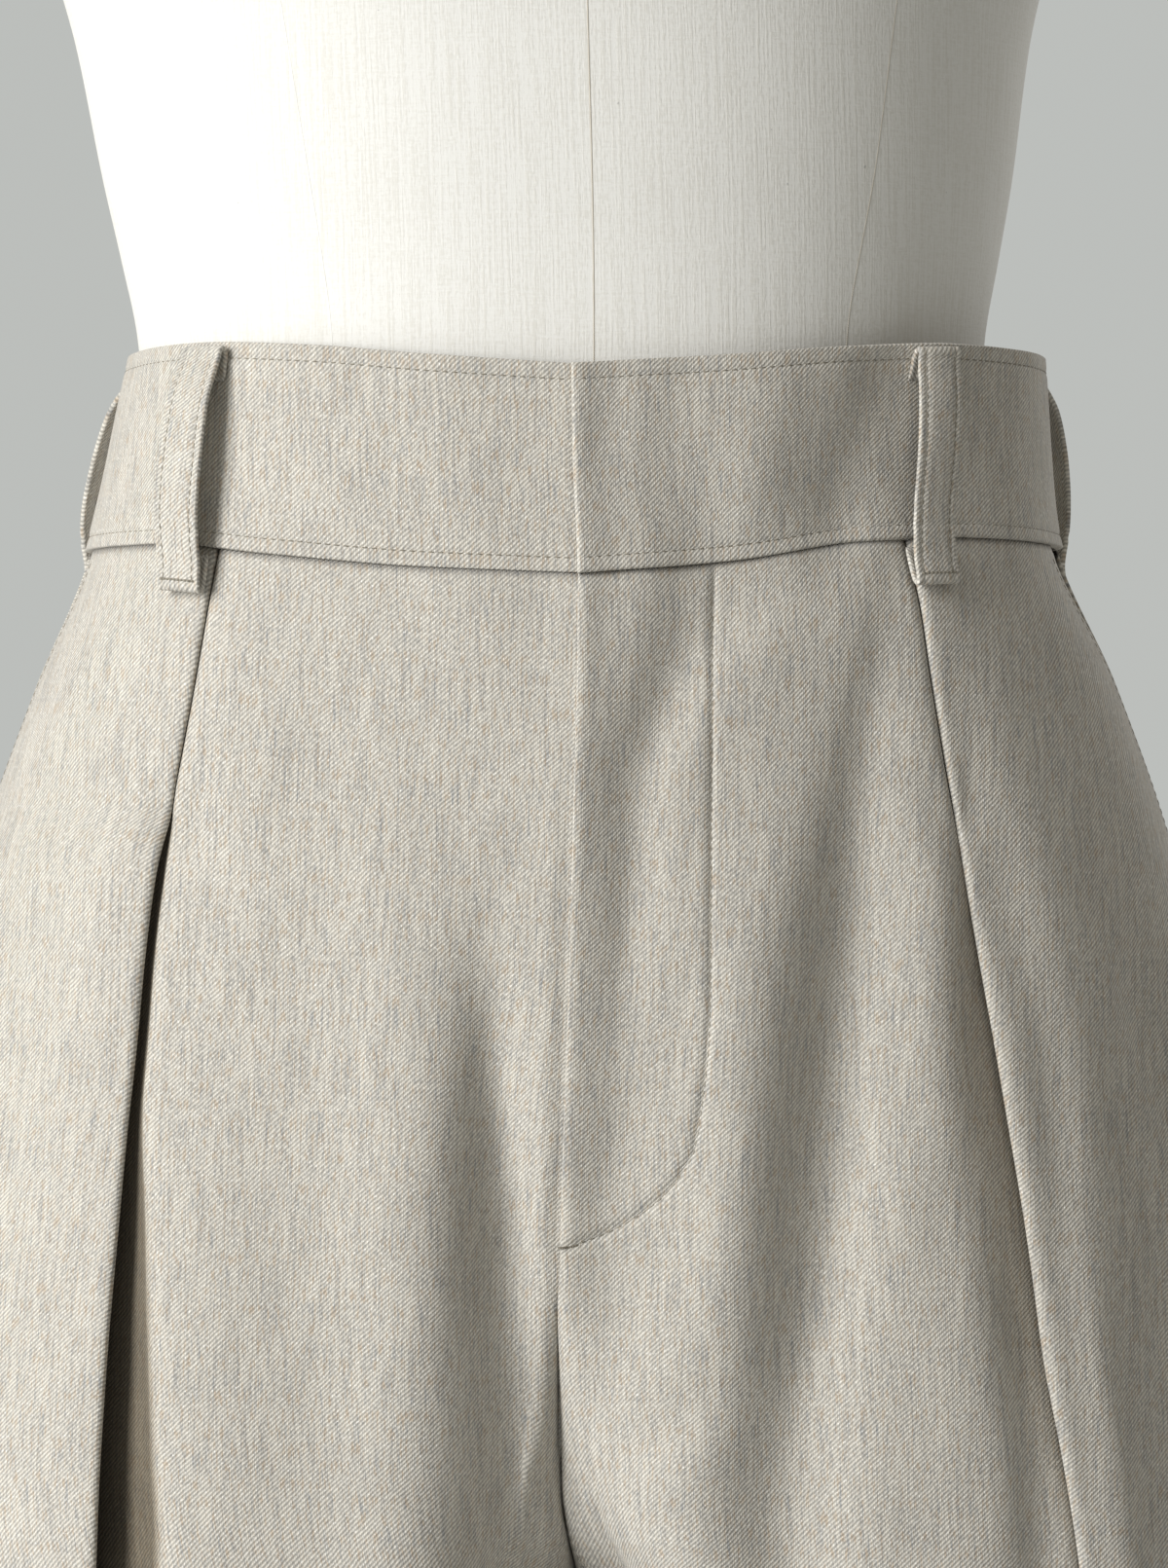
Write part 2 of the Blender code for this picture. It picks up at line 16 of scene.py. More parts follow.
import bmesh
import bpy
import numpy as np
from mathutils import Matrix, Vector


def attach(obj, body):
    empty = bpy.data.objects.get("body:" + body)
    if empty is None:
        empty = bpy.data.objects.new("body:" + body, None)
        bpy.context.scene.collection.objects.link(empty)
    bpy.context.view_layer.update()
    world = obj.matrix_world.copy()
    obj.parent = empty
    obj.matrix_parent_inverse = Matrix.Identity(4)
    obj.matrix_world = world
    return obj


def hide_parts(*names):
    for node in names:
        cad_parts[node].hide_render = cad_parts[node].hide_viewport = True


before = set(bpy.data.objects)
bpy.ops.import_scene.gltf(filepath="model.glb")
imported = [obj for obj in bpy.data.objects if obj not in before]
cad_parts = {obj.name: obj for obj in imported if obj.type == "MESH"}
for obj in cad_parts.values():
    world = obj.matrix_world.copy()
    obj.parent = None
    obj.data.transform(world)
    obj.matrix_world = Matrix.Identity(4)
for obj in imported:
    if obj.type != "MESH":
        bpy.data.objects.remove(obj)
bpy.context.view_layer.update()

LOG = logging.getLogger("shorts")

Finish = bpy.types.Material
Piece = bpy.types.Object
Line = tuple[np.ndarray, np.ndarray]

# ------------------------------------------------------------ driving sizes
MM = 0.001
WAIST_Z = 0.580
BAND_HEIGHT = 0.0505
HEM_DROP = 0.495
SEAM = 0.0003
CLOTH = 0.0011
BAND_WALL = 0.0022
BAND_PROUD = 0.0003
BAND_PITCH = (BAND_WALL + 2 * SEAM) / 2
TUCKED = 0.0001
BAND_STITCH_TOP = 0.0040
BAND_STITCH_BOTTOM = BAND_HEIGHT - 0.0036
BAND_LAP = (0.06, 0.30)
BAND_GROOVE = 0.00030
BAND_GROOVE_WIDTH = 0.0008
LOOP_WALL = 0.0014
LOOP_WIDTH = 0.0122
LOOP_BELOW_BAND = 0.0105
FLY_END = 0.222
BAND_UNDERLAP = 0.010
HEM_TURNED = 0.030
HEM_WALL = 0.0010
HEM_STEP = 0.0012
POCKET_END = 0.215
POCKET_FORWARD = 0.028
FACING_UNDER = 0.014
FORM_BOTTOM = 0.235
FORM_LEAN = 0.0034
FORM_LEAN_END = 0.140
# how far apart two points are that show which way is out
PROBE = 0.001


class Side(Enum):
    """The wearer's sides, valued by the sign of x."""

    LEFT = 1
    RIGHT = -1


class Facing(Enum):
    """Front or back half of the garment, valued by the sign of y."""

    FRONT = -1
    BACK = 1


class Table:
    """Rows of named columns, read as smooth curves of the first column."""

    def __init__(self, columns: Sequence[str], rows: Sequence[tuple]) -> None:
        """Keep the rows.

        Args:
            columns: Name of each column.
            rows: The table's rows, in order of their first column.
        """
        self.columns = tuple(columns)
        self.rows = np.array(rows, float)

    def read(self, name: str, value: np.ndarray | float) -> np.ndarray:
        """A column's values at values of the first column.

        Args:
            name: Column to read.
            value: Where to read it.

        Returns:
            The curve's heights, in the shape of value.
        """
        knots = self.rows[:, 0]
        heights = self.rows[:, self.columns.index(name)]
        rates = np.diff(heights) / np.diff(knots)
        slopes = np.zeros(len(knots))
        slopes[0], slopes[-1] = rates[0], rates[-1]
        before, after = rates[:-1], rates[1:]
        same = before * after > 0.0
        total = np.where(same, before + after, 1.0)
        slopes[1:-1] = np.where(same, 2.0 * before * after / total, 0.0)
        spot = np.clip(np.asarray(value, float), knots[0], knots[-1])
        index = np.clip(np.searchsorted(knots, spot, side="right") - 1, 0, len(knots) - 2)
        span = knots[index + 1] - knots[index]
        t = (spot - knots[index]) / span
        return (heights[index] * (1 + 2 * t) * (1 - t) ** 2
                + slopes[index] * span * t * (1 - t) ** 2
                + heights[index + 1] * t * t * (3 - 2 * t)
                - slopes[index + 1] * span * t * t * (1 - t))


# Level sections of the garment; the crown is where its front lies flattest.
SECTIONS = Table(
    ("drop", "half_width", "front", "back", "crown", "square", "inner_square"), (
        (0.000, 0.1160, 0.0870, 0.0850, 0.000, 2.50, 3.6),
        (0.050, 0.1235, 0.0930, 0.0935, 0.004, 2.50, 3.6),
        (0.085, 0.1385, 0.0975, 0.1015, 0.008, 2.50, 3.6),
        (0.120, 0.1515, 0.1020, 0.1085, 0.014, 2.50, 3.6),
        (0.160, 0.1635, 0.1060, 0.1160, 0.024, 2.50, 3.6),
        (0.200, 0.1720, 0.1090, 0.1210, 0.036, 2.48, 3.6),
        (0.235, 0.1775, 0.1115, 0.1225, 0.046, 2.45, 3.5),
        (0.262, 0.1810, 0.1130, 0.1220, 0.055, 2.42, 3.4),
        (0.285, 0.1835, 0.1140, 0.1205, 0.062, 2.40, 3.2),
        (0.305, 0.1860, 0.1152, 0.1190, 0.068, 2.36, 3.0),
        (0.340, 0.1890, 0.1165, 0.1165, 0.074, 2.34, 2.7),
        (0.400, 0.1940, 0.1185, 0.1140, 0.082, 2.32, 2.5),
        (0.495, 0.2005, 0.1210, 0.1110, 0.090, 2.30, 2.4),
    ))
# How far the centre seam is drawn in between the legs, as a share of the depth.
GROOVE = Table(("drop", "front", "back"), (
    (0.120, 0.000, 0.000),
    (0.160, 0.000, 0.010),
    (0.200, 0.000, 0.033),
    (0.218, 0.000, 0.056),
    (0.240, 0.040, 0.085),
    (0.262, 0.090, 0.200),
    (0.285, 0.260, 0.465),
    (0.298, 0.580, 0.720),
    (0.305, 1.000, 1.000),
))
# Where the inside leg seam runs.
INSEAM = Table(("drop", "out", "back"), (
    (0.305, 0.0000, 0.0000),
    (0.330, 0.0025, 0.0006),
    (0.400, 0.0080, 0.0010),
    (0.495, 0.0130, 0.0015),
))
# Place of each pleat's fold edge.
PLEAT_EDGE = Table(("drop", "left", "right"), (
    (0.050, 0.0867, 0.0886),
    (0.080, 0.0898, 0.0944),
    (0.102, 0.0928, 0.0986),
    (0.112, 0.0945, 0.1008),
    (0.119, 0.0958, 0.1029),
    (0.128, 0.0972, 0.1048),
    (0.146, 0.1002, 0.1068),
    (0.169, 0.1041, 0.1087),
    (0.189, 0.1076, 0.1107),
    (0.216, 0.1121, 0.1132),
    (0.246, 0.1163, 0.1157),
    (0.270, 0.1206, 0.1171),
    (0.294, 0.1240, 0.1179),
    (0.400, 0.1345, 0.1225),
    (0.495, 0.1395, 0.1280),
))
# How far each pleat hangs open: the wearer's left one, and the right one as a
# slit below its tack and then as a wide gap.
PLEAT_OPEN = Table(("drop", "left", "slit", "gap"), (
    (0.1115, 0.00, 0.00, 0.00),
    (0.1180, 0.10, 0.45, 0.00),
    (0.1300, 0.35, 0.95, 0.00),
    (0.1750, 1.00, 1.00, 0.05),
    (0.2160, 0.90, 1.00, 0.48),
    (0.2630, 0.50, 1.00, 0.94),
    (0.2930, 0.25, 1.00, 1.15),
    (0.4950, 0.30, 1.00, 1.25),
))
# The pleat's path in millimetres: place along the cloth's face and depth into
# the body, for a pleat stitched shut, the wearer's left one hanging, and the
# right one as a slit and as a wide gap.
PLEAT_STATES = ("shut", "left", "slit", "gap")
FOLD_PATH = MM * np.array((
    (-26, 0, -29, 0.2, -27, 0, -31, 0),
    (-13, 0.2, -17, 1, -14, 0.2, -21, 0.3),
    (-4, 0.5, -7.5, 3.4, -4.8, 0.7, -16.3, 1.4),
    (-1.6, 1.2, 1, 6, -2.6, 3.4, -11.8, 5.8),
    (1, 2.9, 8, 7.6, 2, 6.4, -4, 10.5),
    (18, 3.1, 17, 8.5, 16, 8, 9, 15),
    (20, 2.4, 19, 7.8, 17.2, 7.3, 11, 14.6),
    (18.6, 1.6, 18.4, 6.6, 16.6, 6.1, 10.6, 13),
    (12, 1.5, 11, 5.2, 10, 5, 7, 10),
    (6, 1.5, 5.5, 4.2, 5, 3.8, 3.6, 6.2),
    (1, 1.5, 0.8, 2.7, 0.6, 1.9, 0.2, 2.1),
    (-0.1, 0.8, -0.2, 1.6, -0.1, 0.9, -0.2, 0.9),
    (1, 0.1, 1.4, 0.6, 1, 0.1, 1, 0.2),
    (4, 0, 5, 0, 4, 0, 4.2, 0),
))
# Where the wearer's right front runs under the left one: how far it dips, and
# how far it runs under.
FLY_DIP = Table(("drop", "dip", "under"), (
    (0.050, 0.0000, 0.0083),
    (0.078, 0.0004, 0.0083),
    (0.126, 0.0009, 0.0083),
    (0.149, 0.0012, 0.0083),
    (0.173, 0.0012, 0.0083),
    (0.192, 0.0017, 0.0083),
    (0.206, 0.0022, 0.0083),
    (0.218, 0.0022, 0.0083),
    (0.228, 0.0021, 0.0030),
    (0.238, 0.0022, 0.0016),
    (0.252, 0.0021, 0.0014),
    (0.275, 0.0015, 0.0010),
    (0.286, 0.0010, 0.0000),
    (0.300, 0.0000, 0.0000),
    (0.495, 0.0000, 0.0000),
))
# The centre front stands forward in a soft ridge, as far as the crotch.
RIDGE = Table(("drop", "height"), (
    (0.000, 0.0020),
    (0.050, 0.0030),
    (0.090, 0.0054),
    (0.138, 0.0054),
    (0.161, 0.0046),
    (0.185, 0.0032),
    (0.209, 0.0017),
    (0.256, 0.0008),
    (0.305, 0.0000),
))
RIDGE_WIDTH = 0.024
# Beyond the ridge the cloth falls back: share of the ridge, place and width.
RIDGE_DIP = (0.45, 0.055, 0.022)
# How far the rows rise above level, from the centre front (0) by way of the side
# seam (1) to the centre back (2), at the band's top and bottom.
RISE = Table(("around", "top", "bottom_left", "bottom_right"), (
    (0.00, 0.0000, -0.0012, -0.0012),
    (0.22, 0.0024, 0.0020, 0.0005),
    (0.42, 0.0051, 0.0069, 0.0036),
    (0.60, 0.0063, 0.0082, 0.0065),
    (1.00, 0.0046, 0.0064, 0.0056),
    (1.50, 0.0085, 0.0092, 0.0088),
    (2.00, 0.0100, 0.0100, 0.0100),
))
RISE_FADE = 0.170
# How far the garment hangs off to the wearer's left: at its centre, and whole.
SWAY = Table(("drop", "centre", "whole"), (
    (0.000, -0.0042, 0.0029),
    (0.025, -0.0018, 0.0010),
    (0.050, 0.0008, -0.0006),
    (0.090, -0.0004, 0.0000),
    (0.150, -0.0020, 0.0000),
    (0.228, -0.0042, 0.0000),
    (0.275, -0.0036, 0.0000),
    (0.305, 0.0000, 0.0000),
    (0.495, 0.0000, 0.0000),
))
SWAY_WIDTH = 0.050
# Level sections of the dress form, by their height above the waist.
FORM = Table(("height", "half_width", "front", "back", "square"), (
    (-0.235, 0.1480, 0.0860, 0.1060, 2.25),
    (-0.225, 0.1520, 0.0890, 0.1090, 2.25),
    (-0.195, 0.1555, 0.0920, 0.1120, 2.25),
    (-0.150, 0.1470, 0.0905, 0.1070, 2.25),
    (-0.100, 0.1300, 0.0875, 0.0965, 2.25),
    (-0.050, 0.1130, 0.0835, 0.0850, 2.25),
    (-0.010, 0.1070, 0.0805, 0.0790, 2.25),
    (0.010, 0.1086, 0.0810, 0.0790, 2.25),
    (0.030, 0.1124, 0.0825, 0.0800, 2.25),
    (0.050, 0.1164, 0.0855, 0.0820, 2.25),
    (0.085, 0.1222, 0.0920, 0.0872, 2.25),
    (0.110, 0.1285, 0.1000, 0.0920, 2.20),
    (0.135, 0.1340, 0.1080, 0.0960, 2.18),
    (0.155, 0.1378, 0.1125, 0.0985, 2.16),
    (0.175, 0.1412, 0.1135, 0.1000, 2.15),
    (0.200, 0.1445, 0.1100, 0.1010, 2.15),
    (0.230, 0.1475, 0.1020, 0.1010, 2.16),
    (0.260, 0.1505, 0.0930, 0.0990, 2.18),
    (0.290, 0.1545, 0.0840, 0.0945, 2.22),
    (0.315, 0.1575, 0.0755, 0.0880, 2.25),
    (0.334, 0.1545, 0.0690, 0.0815, 2.25),
    (0.350, 0.1400, 0.0640, 0.0750, 2.22),
    (0.362, 0.1160, 0.0595, 0.0690, 2.20),
    (0.372, 0.0900, 0.0555, 0.0625, 2.15),
    (0.382, 0.0710, 0.0525, 0.0570, 2.10),
    (0.396, 0.0605, 0.0500, 0.0530, 2.08),
    (0.430, 0.0560, 0.0480, 0.0500, 2.05),
))
# Down a belt loop: how far down it is, and how far its middle stands off.
LOOP_PATH = np.array((
    (0.160, 0.0010),
    (0.090, 0.0010),
    (0.040, 0.0013),
    (0.028, 0.0024),
    (0.040, 0.0035),
    (0.104, 0.0044),
    (0.220, 0.0066),
    (0.400, 0.0077),
    (0.600, 0.0077),
    (0.760, 0.0066),
    (0.900, 0.0044),
    (0.988, 0.0035),
    (1.000, 0.0024),
    (0.988, 0.0013),
    (0.940, 0.0010),
    (0.860, 0.0010),
))


class Fold:
    """A long soft fold that follows its own path; lift below zero is a trough."""

    def __init__(self, side: Side, facing: Facing, *path: tuple) -> None:
        """Keep the fold's path.

        Args:
            side: The wearer's side.
            facing: Front or back.
            path: Rows of drop, place round the body, lift and width, in mm.
        """
        self.side = side
        self.facing = facing
        self.path = Table(("drop", "at", "lift", "width"), MM * np.array(path))

    def lifts(self, at: np.ndarray, drop: float) -> np.ndarray:
        """Outward lift at places round the body.

        Args:
            at: Places round the body, equal to x on the flat front.
            drop: Height of the row.

        Returns:
            The lift at each place.
        """
        centre, lift, width = (float(self.path.read(name, drop))
                               for name in ("at", "lift", "width"))
        return lift * np.exp(-((at - self.side.value * centre) / width) ** 2)


@dataclass(frozen=True)
class Crease:
    """A short soft crease from one place to another, in mm, fading at its ends."""

    FADE_IN = (-0.08, 0.35)
    FADE_OUT = (0.65, 1.08)

    side: Side
    facing: Facing
    start: tuple[float, float]
    end: tuple[float, float]
    lift: float
    width: float

    def lifts(self, at: np.ndarray, drop: float) -> np.ndarray:
        """Outward lift at places round the body.

        Args:
            at: Places round the body, equal to x on the flat front.
            drop: Height of the row.

        Returns:
            The lift at each place.
        """
        start, end = MM * np.array((self.start, self.end))
        length = float(np.hypot(*(end - start)))
        run = (end - start) / length
        away_at, away_drop = at * self.side.value - start[0], drop - start[1]
        along = (away_at * run[0] + away_drop * run[1]) / length
        across = away_at * run[1] - away_drop * run[0]
        fade = ease(along, *self.FADE_IN) * (1.0 - ease(along, *self.FADE_OUT))
        return MM * self.lift * fade * np.exp(-(across / self.width / MM) ** 2)


R, L = Side.RIGHT, Side.LEFT
F, B = Facing.FRONT, Facing.BACK
# Rows of drop, place, lift and width, in millimetres.
FOLDS = (
    # the hollow between the wearer's right pleat and the centre seam
    Fold(R, F, (118, 18.5, 0, 8.5), (138, 18.8, -0.8, 8.5), (161, 18.4, -3.4, 8),
         (185, 16.5, -6.2, 9), (209, 14.3, -8.6, 10.5), (233, 12, -10, 12),
         (256, 9.6, -10.4, 14), (290, 8.5, -10, 16), (360, 22, -7.5, 15.5),
         (495, 42, -8, 17)),
    # the soft ridge outside that hollow
    Fold(R, F, (70, 48, 0, 17.5), (114, 47.3, 2, 18.1), (138, 45.6, 3, 18.8),
         (161, 41.8, 4.3, 20), (197, 39, 5.4, 19), (233, 38.7, 4.6, 17.4),
         (290, 42.6, 3, 16.5), (495, 74, 4.8, 21)),
    # the wearer's right front lies lower beside its pleat
    Fold(R, F, (106, 94, 0, 16), (124, 93, -2.4, 17), (150, 93, -1.6, 18),
         (173, 93, -0.4, 18), (197, 93, 0.4, 18), (290, 93, 1, 18), (495, 90, 0, 17)),
    # the long fold from the wearer's left pleat down towards the inside leg
    Fold(L, F, (52, 85, -0.6, 7), (90, 74.2, -1.9, 7.6), (114, 70.5, -3.4, 9.1),
         (138, 67.3, -5, 11), (161, 64.6, -6.3, 12.6), (197, 61.6, -7.4, 14.4),
         (244, 55.7, -7.4, 14.7), (290, 50.5, -6.7, 15.1), (380, 56, -6.6, 16),
         (495, 66, -6.8, 18)),
    # the ridge on its inner side, and a low one close to the pleat's edge
    Fold(L, F, (70, 53, 0, 13), (90, 51.9, 1.4, 13.6), (114, 48.4, 2.9, 15),
         (138, 45.6, 5, 16.5), (173, 44.2, 6.2, 15.1), (221, 41.8, 5.6, 13.7),
         (256, 39.9, 3.9, 13.3), (290, 37.1, 3.2, 14.5), (495, 36, 3, 15)),
    Fold(L, F, (80, 89.5, 0, 5), (114, 89.9, 1.3, 5.4), (150, 90.3, 1.7, 6.4),
         (185, 91.2, 0.7, 6.9), (221, 83, -1, 10), (290, 80, -0.6, 11), (380, 90, 2, 12),
         (495, 96, 4.5, 17)),
    # the trough that runs down before the left pleat's edge
    Fold(L, F, (200, 104, 0, 6), (228, 108, -1.6, 6.5), (246, 110.8, -2.6, 7),
         (268, 113, -3.2, 7), (291, 115, -3.6, 7.2), (495, 129, -3, 9)),
    # behind the left pleat's rolled edge the cloth falls back
    Fold(L, F, (100, 104, 0, 7), (128, 108, -1.2, 8), (150, 113.5, -1.8, 8.5),
         (175, 118.5, -2, 7.5), (208, 120.5, -1.6, 5.5), (246, 125, -1.2, 4.5),
         (294, 131, -0.8, 4.5)),
    # two soft ridges on the cloth behind the left pleat's edge
    Fold(L, F, (125, 129, 0, 5), (151, 135.6, 0.8, 5.5), (170, 143.7, 1.2, 5.5),
         (190, 150, 1.3, 6), (208, 155.8, 1, 7), (250, 164, 0, 8)),
    Fold(L, F, (195, 120, 0, 4.5), (226, 126, 0.9, 5), (255, 131, 1.4, 5.5),
         (294, 135.2, 1.6, 6), (495, 156, 3, 10)),
    # close beside the lapping edge the left front falls away
    Fold(L, F, (0, 8.5, -0.8, 6), (25, 8.5, -1.2, 6.2), (48, 8.5, -1, 6.2),
         (75, 8.5, -0.8, 6), (100, 8, -0.5, 6), (130, 8, 0, 6)),
    # the shallow dip below the band, between the fly and the left pleat
    Fold(L, F, (0, 60, -3, 21.5), (45, 59, -2.6, 20), (72, 58, 0, 18)),
    # towards the left pleat the front falls away as a whole
    Fold(L, F, (0, 95, -2.2, 45), (45, 95, -3.6, 45), (80, 96, -4, 45), (120, 96, -2, 45),
         (165, 96, 0, 45)),
    # the soft trough down the fly, and on beside the centre seam
    Fold(L, F, (0, 26, -3.6, 16.5), (30, 28, -4, 17), (59, 31, -4.6, 17.2),
         (78, 24, -4.6, 11.5), (102, 16.5, -3.6, 8), (126, 15, -2.7, 7),
         (161, 13.8, -1.1, 5.8), (185, 13, -1.6, 8.5), (209, 10.6, -2.9, 10.9),
         (256, 9.7, -4.6, 11), (290, 11.5, -2.4, 9.5), (330, 15, 0, 9.5)),
    # hanging folds at the sides and round the back
    Fold(R, F, (230, 190, 0, 20), (300, 193, -4.4, 19), (430, 198, -7.8, 21)),
    Fold(L, F, (240, 195, 0, 20), (320, 199, -4.6, 20), (430, 203, -7, 22)),
    Fold(R, B, (215, 58, 0, 16), (290, 64, -4.8, 16), (420, 72, -8.8, 19)),
    Fold(R, B, (235, 118, 0, 18), (310, 123, 4.2, 18), (430, 131, 7, 21)),
    Fold(R, B, (225, 172, 0, 17), (300, 180, -4, 17), (430, 189, -7.6, 20)),
    Fold(L, B, (200, 62, 0, 17), (270, 69, -4, 17), (420, 78, -8, 20)),
    Fold(L, B, (245, 122, 0, 19), (330, 129, 5, 19), (430, 137, 7.4, 22)),
    Fold(L, B, (230, 177, 0, 18), (320, 186, -4.8, 18), (430, 194, -8, 21)),
)
# From one place and drop to another, then lift and width, in millimetres.
CREASES = (
    # short pulls from the crotch seam
    Crease(R, F, (12, 292), (46, 270), -0.6, 7.5),
    Crease(L, F, (8, 272), (44, 246), -0.8, 6.5),
    # low ridges beside the pleats, and a hollow towards the left side seam
    Crease(R, F, (79, 70), (88, 170), 0.7, 13),
    Crease(L, F, (106, 75), (126, 200), 0.9, 11),
    Crease(R, F, (112, 85), (130, 210), 0.9, 11),
    Crease(L, F, (148, 110), (154, 300), -3, 15),
    # small puckers where the pleats' stitching ends
    Crease(R, F, (93, 98), (97, 126), -0.9, 3.5),
    Crease(R, F, (106, 98), (103, 124), -0.7, 3),
    Crease(L, F, (88, 98), (92, 127), -1, 3.5),
    Crease(L, F, (101, 100), (98, 125), -0.7, 3),
    # a shallow hollow towards the right side seam
    Crease(R, F, (146, 110), (152, 290), -1.2, 14),
    # the band: a deep dent on the wearer's left, smaller ones elsewhere
    Crease(L, F, (83, -11), (67, 63), -3.8, 13.5),
    Crease(L, F, (106, -13), (99, 65), -5.2, 23),
    Crease(L, F, (50, -4), (42, 50), 0.8, 11),
    Crease(R, F, (52, 4), (50, 47), 0.6, 14),
    Crease(L, B, (52, 4), (56, 46), -0.7, 13),
    Crease(R, B, (46, 5), (42, 46), -0.8, 12),
    # the seat and the backs of the thighs
    Crease(L, B, (12, 190), (60, 255), -2, 10),
    Crease(R, B, (12, 198), (54, 268), -1.8, 11),
    Crease(L, B, (20, 256), (80, 292), -2.2, 9),
    Crease(R, B, (22, 250), (88, 280), -2, 10),
    Crease(L, B, (90, 70), (104, 200), -1, 15),
    Crease(R, B, (84, 80), (92, 215), 1.1, 14),
    Crease(L, B, (34, 310), (40, 470), 1.6, 14),
    Crease(R, B, (98, 300), (102, 455), -1.5, 15),
)


@dataclass(frozen=True)
class SewnLine:
    """A groove where the layers are sewn, with the cloth fuller inside it."""

    path: tuple
    groove: float = -0.00050
    width: float = 0.0008
    full: float = 0.00045
    full_from: float = 0.003
    fades_in: float = 0.004

    def lifts(self, at: np.ndarray, drop: float) -> np.ndarray:
        """Outward lift at places round the body.

        Args:
            at: Places round the body, equal to x on the flat front.
            drop: Height of the row.

        Returns:
            The lift at each place.
        """
        spots = np.array(self.path)
        nearest = np.full(at.shape, 1.0)
        for first, last in zip(spots, spots[1:]):
            run = last - first
            share = ((at - first[0]) * run[0] + (drop - first[1]) * run[1]) / float(run @ run)
            share = np.clip(share, 0.0, 1.0)
            away = np.hypot(at - first[0] - run[0] * share, drop - first[1] - run[1] * share)
            nearest = np.minimum(nearest, away)
        edge = np.interp(drop, spots[:, 1], spots[:, 0], left=-1.0, right=-1.0)
        inside = np.where((at > 0.0) & (at < edge), ease(nearest, 0.0, self.full_from), 0.0)
        below_band = float(ease(drop, BAND_HEIGHT, BAND_HEIGHT + self.fades_in))
        return below_band * (self.groove * np.exp(-(nearest / self.width) ** 2)
                             + self.full * inside)


# place round the body and drop of the fly's sewing, from the band to the tack
FLY_SEWING = SewnLine(((0.0349, 0.0480), (0.0341, 0.0630), (0.0336, 0.0874),
                       (0.0336, 0.1116), (0.0340, 0.1594), (0.0330, 0.1777),
                       (0.0310, 0.1926), (0.0272, 0.1995), (0.0236, 0.2040),
                       (0.0180, 0.2085), (0.0120, 0.2120), (0.0056, 0.2145),
                       (0.0024, 0.2158)))


# ---------------------------------------------------------------- the maths
def ease(value: np.ndarray | float, start: float, end: float) -> np.ndarray | float:
    """0 before start, 1 after end, smooth between."""
    t = np.clip((value - start) / (end - start), 0.0, 1.0)
    return t * t * (3.0 - 2.0 * t)


def smooth_path(points: np.ndarray, spacing: float, scale: Sequence[float]) -> np.ndarray:
    """Parameters of a smooth curve through points, closer where they turn.

    Args:
        points: The path's points, one row each.
        spacing: Greatest step along the path, in metres.
        scale: Metres per unit of each coordinate.

    Returns:
        Parameters, where whole numbers are the points themselves.
    """
    steps = np.linalg.norm(np.diff(points, axis=0) * np.array(scale), axis=1)
    found = []
    for index, step in enumerate(steps):
        count = max(int(math.ceil(step / spacing)), 3)
        found += [index + i / count for i in range(count)]
    return np.array(found + [float(len(steps))])


def along_path(points: np.ndarray, at: np.ndarray) -> np.ndarray:
    """Catmull-Rom points of a path.

    Args:
        points: The path's points, one row each.
        at: Parameters, where whole numbers are the points themselves.

    Returns:
        One point for each parameter.
    """
    ends = np.vstack((2 * points[0] - points[1], points, 2 * points[-1] - points[-2]))
    index = np.clip(at.astype(int), 0, len(points) - 2)
    t = (at - index)[:, None]
    a, b, c, d = (ends[index + k] for k in range(4))
    return 0.5 * (2 * b + (c - a) * t + (2 * a - 5 * b + 4 * c - d) * t ** 2
                  + (3 * b - a - 3 * c + d) * t ** 3)


# Steps in from a rolled edge, and the half wall there, in half walls.
ROLL_IN = np.array((0.0, 0.09, 0.30, 0.62))
ROLL_HALF = np.array((0.0, 0.55, 0.87, 1.0))


def rolled(start: float, end: float, count: int, radius: float,
           roll_start: bool = True, roll_end: bool = True) -> np.ndarray:
    """Places from start to end, drawn together where an edge is rolled.

    Args:
        start: First place.
        end: Last place.
        count: Number of even places between the rolled edges.
        radius: Half the wall.
        roll_start: Whether the first edge is rolled.
        roll_end: Whether the last edge is rolled.

    Returns:
        The places, in order.
    """
    first = start + ROLL_IN * radius if roll_start else np.array([start])
    last = end - ROLL_IN[::-1] * radius if roll_end else np.array([end])
    middle = np.linspace(first[-1], last[0], count + 1)[1:-1]
    return np.concatenate((first, middle, last))


def edge_halves(count: int, roll_start: bool = True, roll_end: bool = True) -> np.ndarray:
    """Share of the half wall at each place of a rolled row."""
    halves = np.ones(count)
    if roll_start:
        halves[:len(ROLL_HALF)] = ROLL_HALF
    if roll_end:
        halves[-len(ROLL_HALF):] = ROLL_HALF[::-1]
    return halves


# Metres round the body for each radian, and the heights of the two ripples.
RIPPLE_RADIUS = 0.12
RIPPLE_BROAD = 0.00028
RIPPLE_FINE = 0.00012


def ripple(points: np.ndarray) -> np.ndarray:
    """Slight unevenness of hanging cloth, the same for all pieces that meet."""
    x, y, z = points[..., 0], points[..., 1], points[..., 2]
    around = np.arctan2(x, -y) * RIPPLE_RADIUS
    broad = (np.sin(around * 118.0 + np.sin(z * 21.0) * 1.7 + 0.6)
             * np.sin(z * 37.0 + around * 31.0 + 1.1))
    fine = (np.sin(around * 236.0 - z * 44.0 + 2.2)
            * np.sin(z * 92.0 - around * 57.0 + 0.4))
    return RIPPLE_BROAD * broad + RIPPLE_FINE * fine


